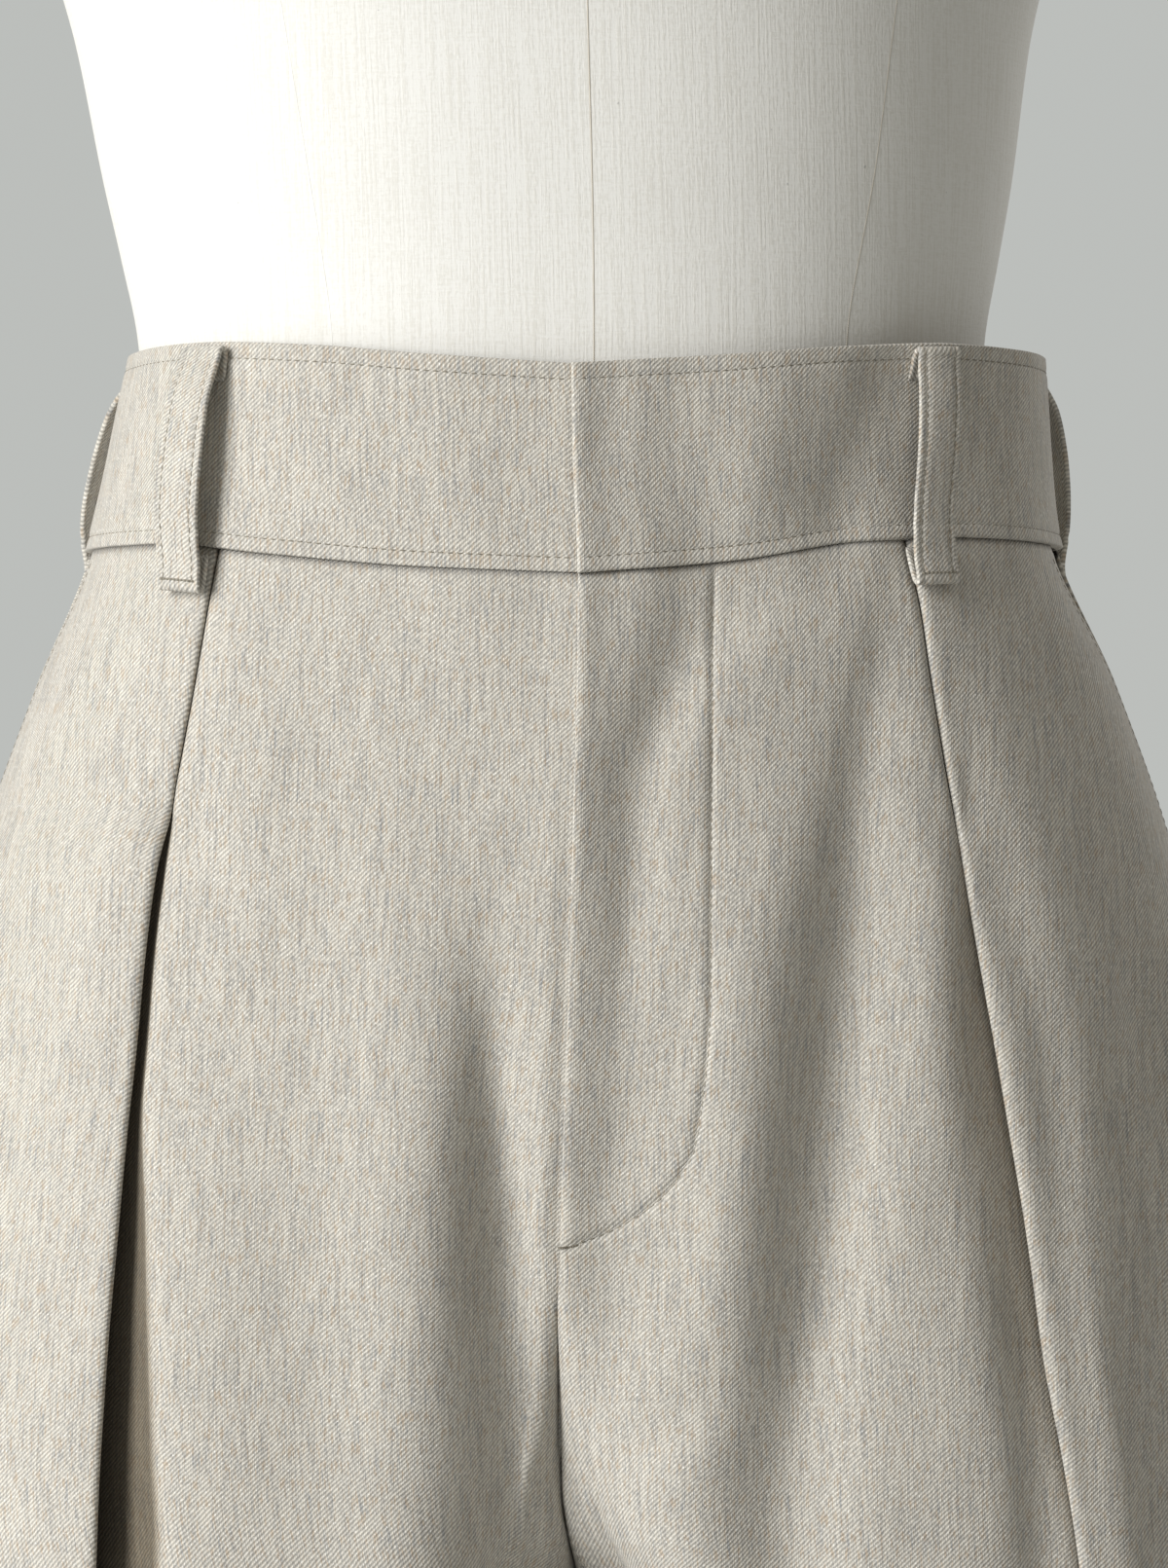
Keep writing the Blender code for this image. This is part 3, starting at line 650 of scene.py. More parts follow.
class Section:
    """One horizontal section of half the garment, front or back."""

    POINTS = 240
    LEAST_CROWN = 0.0005
    GROOVE_OPEN = 0.010
    HALF_STEP = 0.0016

    def __init__(self, drop: float, facing: Facing) -> None:
        """Work out the section's line, from its centre seam to its side seam.

        Args:
            drop: Height of the section.
            facing: Front or back.
        """
        face = facing.value
        name = "front" if facing is Facing.FRONT else "back"
        width = float(SECTIONS.read("half_width", drop))
        crown = float(SECTIONS.read("crown", drop))
        depth = float(SECTIONS.read(name, drop))
        inseam_y = float(INSEAM.read("back", drop))
        groove = (depth - face * inseam_y) * float(GROOVE.read(name, drop))
        square = float(SECTIONS.read("square", drop))
        inner_square = float(SECTIONS.read("inner_square", drop))
        inner_x = float(INSEAM.read("out", drop))
        inner_x += SEAM / 2 + CLOTH / 2 * ease(groove, 0.0, self.GROOVE_OPEN)
        crown = max(crown, inner_x + self.LEAST_CROWN)
        turn = np.linspace(0.0, math.pi / 2, self.POINTS)
        sine, cosine = np.sin(turn), np.maximum(np.cos(turn), 0.0)
        inner_xs = crown - (crown - inner_x) * cosine ** (2.0 / inner_square)
        inner_ys = depth - groove * (1.0 - sine ** (2.0 / inner_square))
        outer_xs = crown + (width - crown) * sine ** (2.0 / square)
        outer_ys = depth * cosine ** (2.0 / square)
        self.facing = facing
        self.drop = drop
        self.xs = np.concatenate((inner_xs[:-1], outer_xs))
        self.ys = np.concatenate((inner_ys[:-1], outer_ys)) * face
        steps = np.hypot(np.diff(self.xs), np.diff(self.ys))
        self.arc = np.concatenate(([0.0], np.cumsum(steps)))
        self.length = float(self.arc[-1])
        self.crown = crown
        self.crown_arc = float(self.arc[len(turn) - 1])

    def place(self, distance: np.ndarray) -> tuple[np.ndarray, ...]:
        """Points and outward directions at distances from the centre seam.

        Args:
            distance: Real lengths of cloth; below zero is across the centre.

        Returns:
            x, y, and the outward direction's x and y.
        """
        reach = np.abs(distance)
        before = np.maximum(reach - self.HALF_STEP, 0.0)
        after = np.minimum(reach + self.HALF_STEP, self.length)
        x = np.interp(reach, self.arc, self.xs)
        y = np.interp(reach, self.arc, self.ys)
        run_x = np.interp(after, self.arc, self.xs) - np.interp(before, self.arc, self.xs)
        run_y = np.interp(after, self.arc, self.ys) - np.interp(before, self.arc, self.ys)
        norm = np.hypot(run_x, run_y)
        face = self.facing.value
        sign = np.where(distance < 0.0, -1.0, 1.0)
        return x * sign, y, -face * run_y / norm * sign, face * run_x / norm

    def distance_at(self, x: float) -> float:
        """Distance along the section where it reaches this x."""
        return float(np.interp(x, self.xs, self.arc))

    def measure(self, distance: np.ndarray) -> np.ndarray:
        """Place round the body, equal to x on the flat front."""
        return self.crown + distance - self.crown_arc


class Garment:
    """The surface that every piece of cloth lies on."""

    # how near the centre, the side seam and the inside leg the folds die away
    CALM_CENTRE = 0.008
    CALM_SIDE = 0.022
    CALM_BETWEEN_LEGS = (0.001, 0.014)

    def __init__(self) -> None:
        """Start with no sections worked out."""
        self._sections: dict[tuple[float, Facing], Section] = {}

    def section(self, drop: float, facing: Facing) -> Section:
        """The section at a drop, worked out once."""
        key = (round(float(drop), 7), facing)
        if key not in self._sections:
            self._sections[key] = Section(key[0], facing)
        return self._sections[key]

    def rise(self, side: Side, around: np.ndarray, drop: float) -> np.ndarray:
        """How far the cloth stands above a level row; the rows end level.

        Args:
            side: The wearer's side.
            around: 0 at the centre front, 1 at the side seam, 2 at the back.
            drop: Height of the row.

        Returns:
            The rise at each place.
        """
        top = RISE.read("top", around)
        bottom = RISE.read("bottom_left" if side is Side.LEFT else "bottom_right", around)
        down = min(drop / BAND_HEIGHT, 1.0)
        return (top + (bottom - top) * down) * (1.0 - ease(drop, BAND_HEIGHT, RISE_FADE))

    def folds(self, side: Side, section: Section, distance: np.ndarray,
              at: np.ndarray) -> np.ndarray:
        """Outward lift of all the folds, dying away at the side and between the legs.

        Args:
            side: The wearer's side.
            section: The row's section.
            distance: Distances from the centre seam.
            at: The same places, measured round the body.

        Returns:
            The lift at each place.
        """
        drop = section.drop
        signed = side.value * np.where(distance < 0.0, at, np.maximum(at, 0.0))
        lift = np.zeros(len(distance))
        for fold in FOLDS + CREASES:
            if fold.facing is section.facing:
                lift += fold.lifts(signed, drop)
        if section.facing is Facing.FRONT:
            away = np.abs(signed)
            share, place, width = RIDGE_DIP
            lift += float(RIDGE.read("height", drop)) * (
                np.exp(-away / RIDGE_WIDTH)
                - share * np.exp(-((away - place) / width) ** 2))
            lift += FLY_SEWING.lifts(signed, drop)
        between = np.where(distance < 0.0, 1.0, 1.0 - ease(-at, *self.CALM_BETWEEN_LEGS))
        sewn = sum(math.exp(-((drop - line) / BAND_GROOVE_WIDTH) ** 2)
                   for line in (BAND_STITCH_TOP, BAND_STITCH_BOTTOM))
        aside = ease(distance, section.length - self.CALM_SIDE, section.length)
        return lift * between * (1.0 - aside) - BAND_GROOVE * sewn

    def points(self, side: Side, facing: Facing, drop: float, distance: np.ndarray,
               lift: np.ndarray | float = 0.0) -> np.ndarray:
        """Points of the garment's middle surface, moved out by lift.

        Args:
            side: The wearer's side.
            facing: Front or back.
            drop: Height of the row.
            distance: Distances from the centre seam.
            lift: How far each point is moved out.

        Returns:
            The points, one row each.
        """
        distance = np.atleast_1d(np.asarray(distance, float))
        section = self.section(drop, facing)
        x, y, out_x, out_y = section.place(distance)
        at = section.measure(distance)
        lift = lift + self.folds(side, section, distance, at)
        straight = ease(np.abs(distance), 0.0, self.CALM_CENTRE)
        out_x = out_x * straight
        out_y = out_y * straight + facing.value * (1.0 - straight)
        x = side.value * (x + out_x * lift)
        y = y + out_y * lift
        x = x + SWAY.read("centre", drop) * np.exp(-(x / SWAY_WIDTH) ** 2)
        x = x + SWAY.read("whole", drop)
        around = np.minimum(np.abs(distance) / section.length, 1.0)
        around = around if facing is Facing.FRONT else 2.0 - around
        z = WAIST_Z - drop + self.rise(side, around, drop)
        made = np.stack((x, y, z), axis=1)
        wave = ripple(made)
        made[:, 0] += side.value * out_x * wave
        made[:, 1] += out_y * wave
        return made


# ------------------------------------------------------------ making meshes
def mesh_object(name: str, points: np.ndarray, faces: np.ndarray,
                uvs: Optional[np.ndarray] = None) -> Piece:
    """A smooth-shaded mesh object.

    Args:
        name: Name of the piece.
        points: Vertices, one row each.
        faces: Quads as rows of vertex numbers; a triangle repeats none.
        uvs: One pair for each vertex, in metres of cloth.

    Returns:
        The new object, linked to the scene.
    """
    mesh = bpy.data.meshes.new(name)
    sides = faces.shape[1]
    mesh.vertices.add(len(points))
    mesh.vertices.foreach_set("co", points.astype(np.float32).ravel())
    mesh.loops.add(faces.size)
    mesh.loops.foreach_set("vertex_index", faces.astype(np.int32).ravel())
    mesh.polygons.add(len(faces))
    mesh.polygons.foreach_set("loop_start", np.arange(len(faces), dtype=np.int32) * sides)
    mesh.update(calc_edges=True)
    if uvs is not None:
        layer = mesh.uv_layers.new(name="cloth")
        layer.uv.foreach_set("vector", uvs[faces.ravel()].astype(np.float32).ravel())
    mesh.validate()
    mesh.shade_smooth()
    made = bpy.data.objects.new(name, mesh)
    bpy.context.scene.collection.objects.link(made)
    return made


def grid_faces(rows: int, columns: int, start: int = 0) -> np.ndarray:
    """Quads of a grid of vertices, row by row."""
    r, c = np.meshgrid(np.arange(rows - 1), np.arange(columns - 1), indexing="ij")
    first = (start + r * columns + c).ravel()
    return np.stack((first, first + 1, first + columns + 1, first + columns), axis=1)


def tube_faces(rows: int, around: int) -> np.ndarray:
    """Quads of a closed tube of vertices, ring by ring."""
    cells = grid_faces(rows, around + 1)
    column = cells % (around + 1)
    return cells // (around + 1) * around + np.where(column == around, 0, column)


def grid_normals(grid: np.ndarray) -> np.ndarray:
    """Unit normals of a grid of points, from its neighbours."""
    along = np.gradient(grid, axis=1)
    down = np.gradient(grid, axis=0)
    normals = np.cross(along, down)
    length = np.linalg.norm(normals, axis=2, keepdims=True)
    return normals / np.maximum(length, 1e-12)


def cloth_lengths(grid: np.ndarray, start: np.ndarray | float = 0.0) -> np.ndarray:
    """Real length of cloth along each row of a grid, from its first point."""
    steps = np.linalg.norm(np.diff(grid, axis=1), axis=2)
    run = np.concatenate((np.zeros((len(grid), 1)), np.cumsum(steps, axis=1)), axis=1)
    return run + np.asarray(start).reshape(-1, 1)


def path_lengths(points: np.ndarray) -> np.ndarray:
    """Distance along a path at each of its points."""
    steps = np.linalg.norm(np.diff(points, axis=0), axis=1)
    return np.concatenate(([0.0], np.cumsum(steps)))


def rolled_wall(grid: np.ndarray, roll_top: bool = True) -> np.ndarray:
    """Share of the half wall over a grid whose edges are rolled."""
    rows, columns = grid.shape[:2]
    return np.minimum.outer(edge_halves(rows, roll_top), edge_halves(columns))


def hem_wall(drops: np.ndarray, shape: np.ndarray) -> np.ndarray:
    """Half the wall on the inner side, thicker where the hem is turned up.

    Args:
        drops: Heights of the rows.
        shape: Share of the half wall at each point.

    Returns:
        Half the wall at each point.
    """
    line = HEM_DROP - HEM_TURNED
    turned = ease(drops, line - HEM_STEP, line)
    return shape * (CLOTH / 2 + turned[:, None] * HEM_WALL)


def cloth_shell(name: str, grid: np.ndarray, halves: np.ndarray, across: np.ndarray,
                down: np.ndarray, outward: np.ndarray,
                inner: Optional[np.ndarray] = None,
                shade: Optional[np.ndarray] = None) -> Piece:
    """A closed shell of cloth round a grid of points, with rolled edges.

    Args:
        name: Name of the piece.
        grid: The cloth's middle surface, rows by columns by three.
        halves: Half the wall at each point; 0 at the edges.
        across: Metres of cloth across, at each point or column.
        down: Metres of cloth down, at each point or row.
        outward: A direction that the outer side faces, on the whole.
        inner: Half the wall on the inner side, where it differs.
        shade: Painted shade at each point, from 0 for none to 1 deep in a pleat.

    Returns:
        The new object.
    """
    normals = grid_normals(grid)
    flip = float(np.sum(normals * outward)) < 0.0
    if flip:
        normals = -normals
    inner = halves if inner is None else inner
    rows, columns = grid.shape[:2]
    outer_points = grid + normals * halves[..., None]
    inner_points = grid - normals * inner[..., None]
    border = np.zeros((rows, columns), bool)
    border[0], border[-1], border[:, 0], border[:, -1] = True, True, True, True
    numbers = np.arange(rows * columns).reshape(rows, columns)
    inside = numbers.copy()
    inside[~border] = rows * columns + np.arange(int((~border).sum()))
    outer_faces = grid_faces(rows, columns)
    inner_faces = inside.ravel()[outer_faces]
    turned = outer_faces[:, ::-1], inner_faces
    outer_faces, inner_faces = turned if flip else (outer_faces, inner_faces[:, ::-1])
    points = np.concatenate((outer_points.reshape(-1, 3), inner_points[~border]))
    uv_grid = np.stack(np.broadcast_arrays(across, down), axis=2)
    uvs = np.concatenate((uv_grid.reshape(-1, 2), uv_grid[~border]))
    made = mesh_object(name, points, np.concatenate((outer_faces, inner_faces)), uvs)
    # painted shade, kept on the points for the cloth's finish to darken its colour
    if shade is not None:
        depth = made.data.attributes.new("painted_pleat_shade", "FLOAT", "POINT")
        depth.data.foreach_set("value", np.concatenate(
            (shade.ravel(), shade[~border])).astype(np.float32))
    return made


def dress(piece: Piece, finish: Finish, slot: str,
          *replaced: str) -> Piece:
    """Give a piece its finish and its place in the frame.

    Args:
        piece: The piece.
        finish: Its material.
        slot: Name of the record's material slot; not used.
        replaced: The part's solids that it stands for.

    Returns:
        The piece.
    """
    piece.data.materials.clear()
    piece.data.materials.append(finish)
    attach(piece, "root")
    if replaced:
        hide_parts(*replaced)
    return piece


# -------------------------------------------------------------- the finishes
class Graph:
    """The node tree of a material or world, built one node at a time."""

    def __init__(self, owner: Finish | bpy.types.World) -> None:
        """Start with an empty tree.

        Args:
            owner: The new material or world.
        """
        self.owner = owner
        owner.use_nodes = True
        self.tree = owner.node_tree
        self.tree.nodes.clear()

    def node(self, kind: str, settings: Optional[dict] = None,
             inputs: Optional[dict] = None) -> bpy.types.Node:
        """Add a node.

        Args:
            kind: The node's type.
            settings: Its properties, set first; "stops" fills a colour ramp.
            inputs: Values or links of its sockets, by identifier.

        Returns:
            The node.
        """
        made = self.tree.nodes.new(kind)
        for key, value in (settings or {}).items():
            if key == "stops":
                self._fill_ramp(made.color_ramp, value)
            else:
                setattr(made, key, value)
        for key, value in (inputs or {}).items():
            socket = next(s for s in made.inputs if s.identifier == key)
            if isinstance(value, Value):
                value = value.socket
            if isinstance(value, bpy.types.NodeSocket):
                self.tree.links.new(value, socket)
            else:
                socket.default_value = value
        return made

    @staticmethod
    def _fill_ramp(ramp: bpy.types.ColorRamp, stops: Sequence[tuple]) -> None:
        """Set a ramp's stops from (place, colour) pairs."""
        while len(ramp.elements) > 1:
            ramp.elements.remove(ramp.elements[-1])
        for index, (place, colour) in enumerate(stops):
            stop = ramp.elements[0] if index == 0 else ramp.elements.new(place)
            stop.position, stop.color = place, (*colour, 1.0)

    def mix(self, low: object, high: object, share: "Value | float",
            blend: str = "MIX") -> bpy.types.NodeSocket:
        """A Mix node for colours.

        Args:
            low: Colour or link where share is 0.
            high: Colour or link where share is 1.
            share: The factor.
            blend: Blend mode.

        Returns:
            The mixed colour's socket.
        """
        low, high = (c if isinstance(c, bpy.types.NodeSocket) else (*c, 1.0)
                     for c in (low, high))
        made = self.node("ShaderNodeMix", {"data_type": "RGBA", "blend_type": blend},
                         {"Factor_Float": share, "A_Color": low, "B_Color": high})
        return next(s for s in made.outputs if s.identifier == "Result_Color")

    def grey(self, value: "Value") -> bpy.types.NodeSocket:
        """A value as a grey colour."""
        made = self.node("ShaderNodeCombineColor", None,
                         {"Red": value, "Green": value, "Blue": value})
        return made.outputs["Color"]

    def cloth_place(self) -> tuple["Value", "Value"]:
        """Millimetres across and down the cloth."""
        uv = self.node("ShaderNodeUVMap", {"uv_map": "cloth"})
        split = self.node("ShaderNodeSeparateXYZ", None, {"Vector": uv.outputs["UV"]})
        return (Value(self, split.outputs["X"]) * 1000.0,
                Value(self, split.outputs["Y"]) * 1000.0)

    def noise(self, across: "Value", down: "Value", scales: tuple[float, float],
              seed: float, detail: float = 2.0) -> "Value":
        """Noise over the cloth, with its own scale across and down.

        Args:
            across: Place across.
            down: Place down.
            scales: Cells per millimetre across and down.
            seed: Where in the noise it starts.
            detail: Octaves of finer noise.

        Returns:
            Values around 0.5.
        """
        place = self.node("ShaderNodeCombineXYZ", None,
                          {"X": across * scales[0], "Y": down * scales[1], "Z": seed})
        made = self.node("ShaderNodeTexNoise", {"noise_dimensions": "3D"},
                         {"Vector": place.outputs["Vector"], "Scale": 1.0,
                          "Detail": detail, "Roughness": 0.55})
        return Value(self, next(s for s in made.outputs if s.type == "VALUE"))

    def finish(self, shader: dict, height: Optional["Value"] = None,
               depth: float = 0.0) -> Finish:
        """Close the material with a Principled shader.

        Args:
            shader: Values or links of its sockets.
            height: Height field of the surface.
            depth: Metres between the field's 0 and 1.

        Returns:
            The material.
        """
        sockets = dict(shader)
        if height is not None:
            bump = self.node("ShaderNodeBump", None,
                             {"Strength": 1.0, "Distance": depth, "Height": height})
            sockets["Normal"] = bump.outputs["Normal"]
        made = self.node("ShaderNodeBsdfPrincipled", None, sockets)
        self.node("ShaderNodeOutputMaterial", None, {"Surface": made.outputs["BSDF"]})
        return self.owner


class Value:
    """A number in a shader, with Python's operators as Math nodes."""

    def __init__(self, graph: Graph, socket: bpy.types.NodeSocket) -> None:
        """Wrap a socket.

        Args:
            graph: The graph that holds it.
            socket: The socket.
        """
        self.graph = graph
        self.socket = socket

    def _math(self, operation: str, *others: "Value | float", first: bool = True) -> "Value":
        """A Math node on this value and others.

        Args:
            operation: What it works out.
            others: The other numbers.
            first: Whether this value comes first.

        Returns:
            The result.
        """
        numbers = [self, *others] if first else [*others, self]
        names = ("Value", "Value_001", "Value_002")
        made = self.graph.node("ShaderNodeMath", {"operation": operation},
                               dict(zip(names, numbers)))
        return Value(self.graph, made.outputs[0])

    def __add__(self, other: "Value | float") -> "Value":
        """self + other."""
        return self._math("ADD", other)

    def __sub__(self, other: "Value | float") -> "Value":
        """self - other."""
        return self._math("SUBTRACT", other)

    def __rsub__(self, other: float) -> "Value":
        """other - self."""
        return self._math("SUBTRACT", other, first=False)

    def __mul__(self, other: "Value | float") -> "Value":
        """self times other."""
        return self._math("MULTIPLY", other)

    def __truediv__(self, other: "Value | float") -> "Value":
        """self over other."""
        return self._math("DIVIDE", other)

    __radd__ = __add__
    __rmul__ = __mul__

    def wave(self) -> "Value":
        """0 to 1 and back, once for each whole number."""
        return (self * (2.0 * math.pi))._math("SINE") * 0.5 + 0.5

    def step(self, low: float, high: float) -> "Value":
        """0 below low, 1 above high, smooth between."""
        names = ("Value", "From Min", "From Max", "To Min", "To Max")
        made = self.graph.node(
            "ShaderNodeMapRange", {"interpolation_type": "SMOOTHSTEP", "clamp": True},
            dict(zip(names, (self, low, high, 0.0, 1.0))))
        return Value(self.graph, made.outputs[0])


@dataclass(frozen=True)
class Suiting:
    """Melange wool twill: diagonal ribs, flecks, faint upright streaks, and painted shade in
    the pleats.
    """

    cream: tuple = (0.596, 0.569, 0.506)
    grey: tuple = (0.308, 0.301, 0.284)
    slate: tuple = (0.250, 0.266, 0.280)
    tan: tuple = (0.420, 0.330, 0.234)
    white: tuple = (0.830, 0.815, 0.772)
    # how far the painted shade darkens the cloth deepest in a pleat, and its warm tint
    painted_pleat_shade: float = 0.72
    painted_shade_tint: tuple = (1.000, 0.880, 0.700)
    rib: float = 0.855
    lean: float = 42.0
    yarn: float = 0.52

    def material(self) -> Finish:
        """Build the material."""
        graph = Graph(bpy.data.materials.new("suiting_twill"))
        across, down = graph.cloth_place()
        lean = math.radians(self.lean)
        wander = graph.noise(across, down, (0.16, 0.10), 1.0) * 0.9
        phase = (down * math.cos(lean) - across * math.sin(lean)) / self.rib + wander
        ribs = phase.wave()
        ply = (across / self.yarn + graph.noise(across, down, (0.5, 0.1), 9.0) * 0.8).wave()
        fuzz = graph.noise(across, down, (3.2, 3.2), 5.0, 3.0)
        height = ribs * (0.55 + ply * 0.25) + fuzz * 0.35
        fleck = graph.noise(across, down, (1.9, 0.75), 2.0, 2.0)
        thread = graph.noise(across, down, (1.7, 0.055), 4.0, 2.0)
        streak = graph.noise(across, down, (0.42, 0.045), 3.0, 2.0)
        tone = (fleck * 0.42 + thread * 0.40 + streak * 0.18).step(0.32, 0.60)
        colour = graph.mix(self.grey, self.cream, tone)
        slate = graph.noise(across, down, (1.5, 0.11), 8.0, 2.0).step(0.56, 0.70) * 0.60
        colour = graph.mix(colour, self.slate, slate)
        tan = graph.noise(across, down, (1.6, 0.24), 6.0, 2.0).step(0.52, 0.66) * 0.62
        colour = graph.mix(colour, self.tan, tan)
        white = graph.noise(across, down, (2.2, 1.1), 7.0, 2.0).step(0.58, 0.70) * 0.70
        colour = graph.mix(colour, self.white, white)
        # the painted shade's share, set on the fronts' points, 1 deep in a pleat
        fold = graph.node("ShaderNodeAttribute", {"attribute_name": "painted_pleat_shade"})
        deep = Value(graph, fold.outputs["Fac"])
        # the twill's rib tone, times painted shade that darkens the cloth deep in the pleats
        shade = (0.64 + 0.60 * ribs * (0.8 + ply * 0.2)) * (1.0 - deep * self.painted_pleat_shade)
        colour = graph.mix(colour, graph.grey(shade), 1.0, "MULTIPLY")
        # the painted shade is tinted warm deep in the pleats
        painted_shade_tint = graph.mix((1.0, 1.0, 1.0), self.painted_shade_tint, deep)
        colour = graph.mix(colour, painted_shade_tint, 1.0, "MULTIPLY")
        rough = 0.94 - 0.10 * ribs
        return graph.finish({"Base Color": colour, "Roughness": rough,
                             "Specular IOR Level": 0.25, "Sheen Weight": 0.12,
                             "Sheen Roughness": 0.6}, height, 0.00014)


@dataclass(frozen=True)
class Linen:
    """The form's cover: plain-woven linen with slubs both ways."""

    pale: tuple = (0.752, 0.749, 0.718)
    slub: tuple = (0.655, 0.642, 0.590)
    speck: tuple = (0.330, 0.330, 0.320)

    def material(self) -> Finish:
        """Build the material."""
        graph = Graph(bpy.data.materials.new("form_linen"))
        across, down = graph.cloth_place()
        upright = graph.noise(across, down, (1.3, 0.035), 2.0, 2.0)
        level = graph.noise(across, down, (0.060, 1.4), 3.0, 2.0)
        warp = graph.noise(across, down, (1.7, 0.50), 4.0, 1.0)
        weft = graph.noise(across, down, (0.50, 1.7), 5.0, 1.0)
        slub = (upright * 0.42 + level * 0.14 + warp * 0.24 + weft * 0.20).step(0.42, 0.62)
        colour = graph.mix(self.pale, self.slub, slub * 0.66)
        speck = graph.noise(across, down, (0.55, 0.35), 8.0, 1.0).step(0.795, 0.82)
        colour = graph.mix(colour, self.speck, speck * 0.6)
        return graph.finish({"Base Color": colour, "Roughness": 0.9 - slub * 0.06,
                             "Specular IOR Level": 0.25}, slub, 0.00004)


@dataclass(frozen=True)
class Thread:
    """Spun sewing thread, twisted along its length."""

    name: str = "sewing_thread"
    colour: tuple = (0.330, 0.305, 0.250)
    dark: tuple = (0.170, 0.152, 0.122)
    twist: float = 0.55

    def material(self) -> Finish:
        """Build the material."""
        graph = Graph(bpy.data.materials.new(self.name))
        across, down = graph.cloth_place()
        twist = (down / self.twist + across / self.twist).wave()
        patch = graph.noise(across, down, (0.9, 0.4), 2.0, 2.0)
        colour = graph.mix(self.dark, self.colour, (twist * 0.5 + patch * 0.6).step(0.1, 0.8))
        return graph.finish({"Base Color": colour, "Roughness": 0.75 - twist * 0.1,
                             "Specular IOR Level": 0.3}, twist, 0.00006)


@dataclass(frozen=True)
class StandPaint:
    """Powder-coated steel, a little uneven as sprayed."""

    coat: tuple = (0.560, 0.555, 0.540)
    worn: tuple = (0.480, 0.475, 0.465)

    def material(self) -> Finish:
        """Build the material."""
        graph = Graph(bpy.data.materials.new("stand_powder_coat"))
        place = graph.node("ShaderNodeTexCoord").outputs["Object"]
        fine = graph.node("ShaderNodeTexNoise", None,
                          {"Vector": place, "Scale": 900.0, "Detail": 2.0})
        broad = graph.node("ShaderNodeTexNoise", None,
                           {"Vector": place, "Scale": 14.0, "Detail": 3.0})
        grain = Value(graph, fine.outputs[0])
        patch = Value(graph, broad.outputs[0])
        colour = graph.mix(self.worn, self.coat, patch.step(0.35, 0.6))
        return graph.finish({"Base Color": colour, "Roughness": 0.42 + grain * 0.2,
                             "Metallic": 0.15}, grain, 0.00012)


@dataclass(frozen=True)
class Plain:
    """A studio surface."""

    name: str
    colour: tuple
    roughness: float = 0.9

    def material(self) -> Finish:
        """Build the material."""
        graph = Graph(bpy.data.materials.new(self.name))
        return graph.finish({"Base Color": (*self.colour, 1.0),
                             "Roughness": self.roughness})


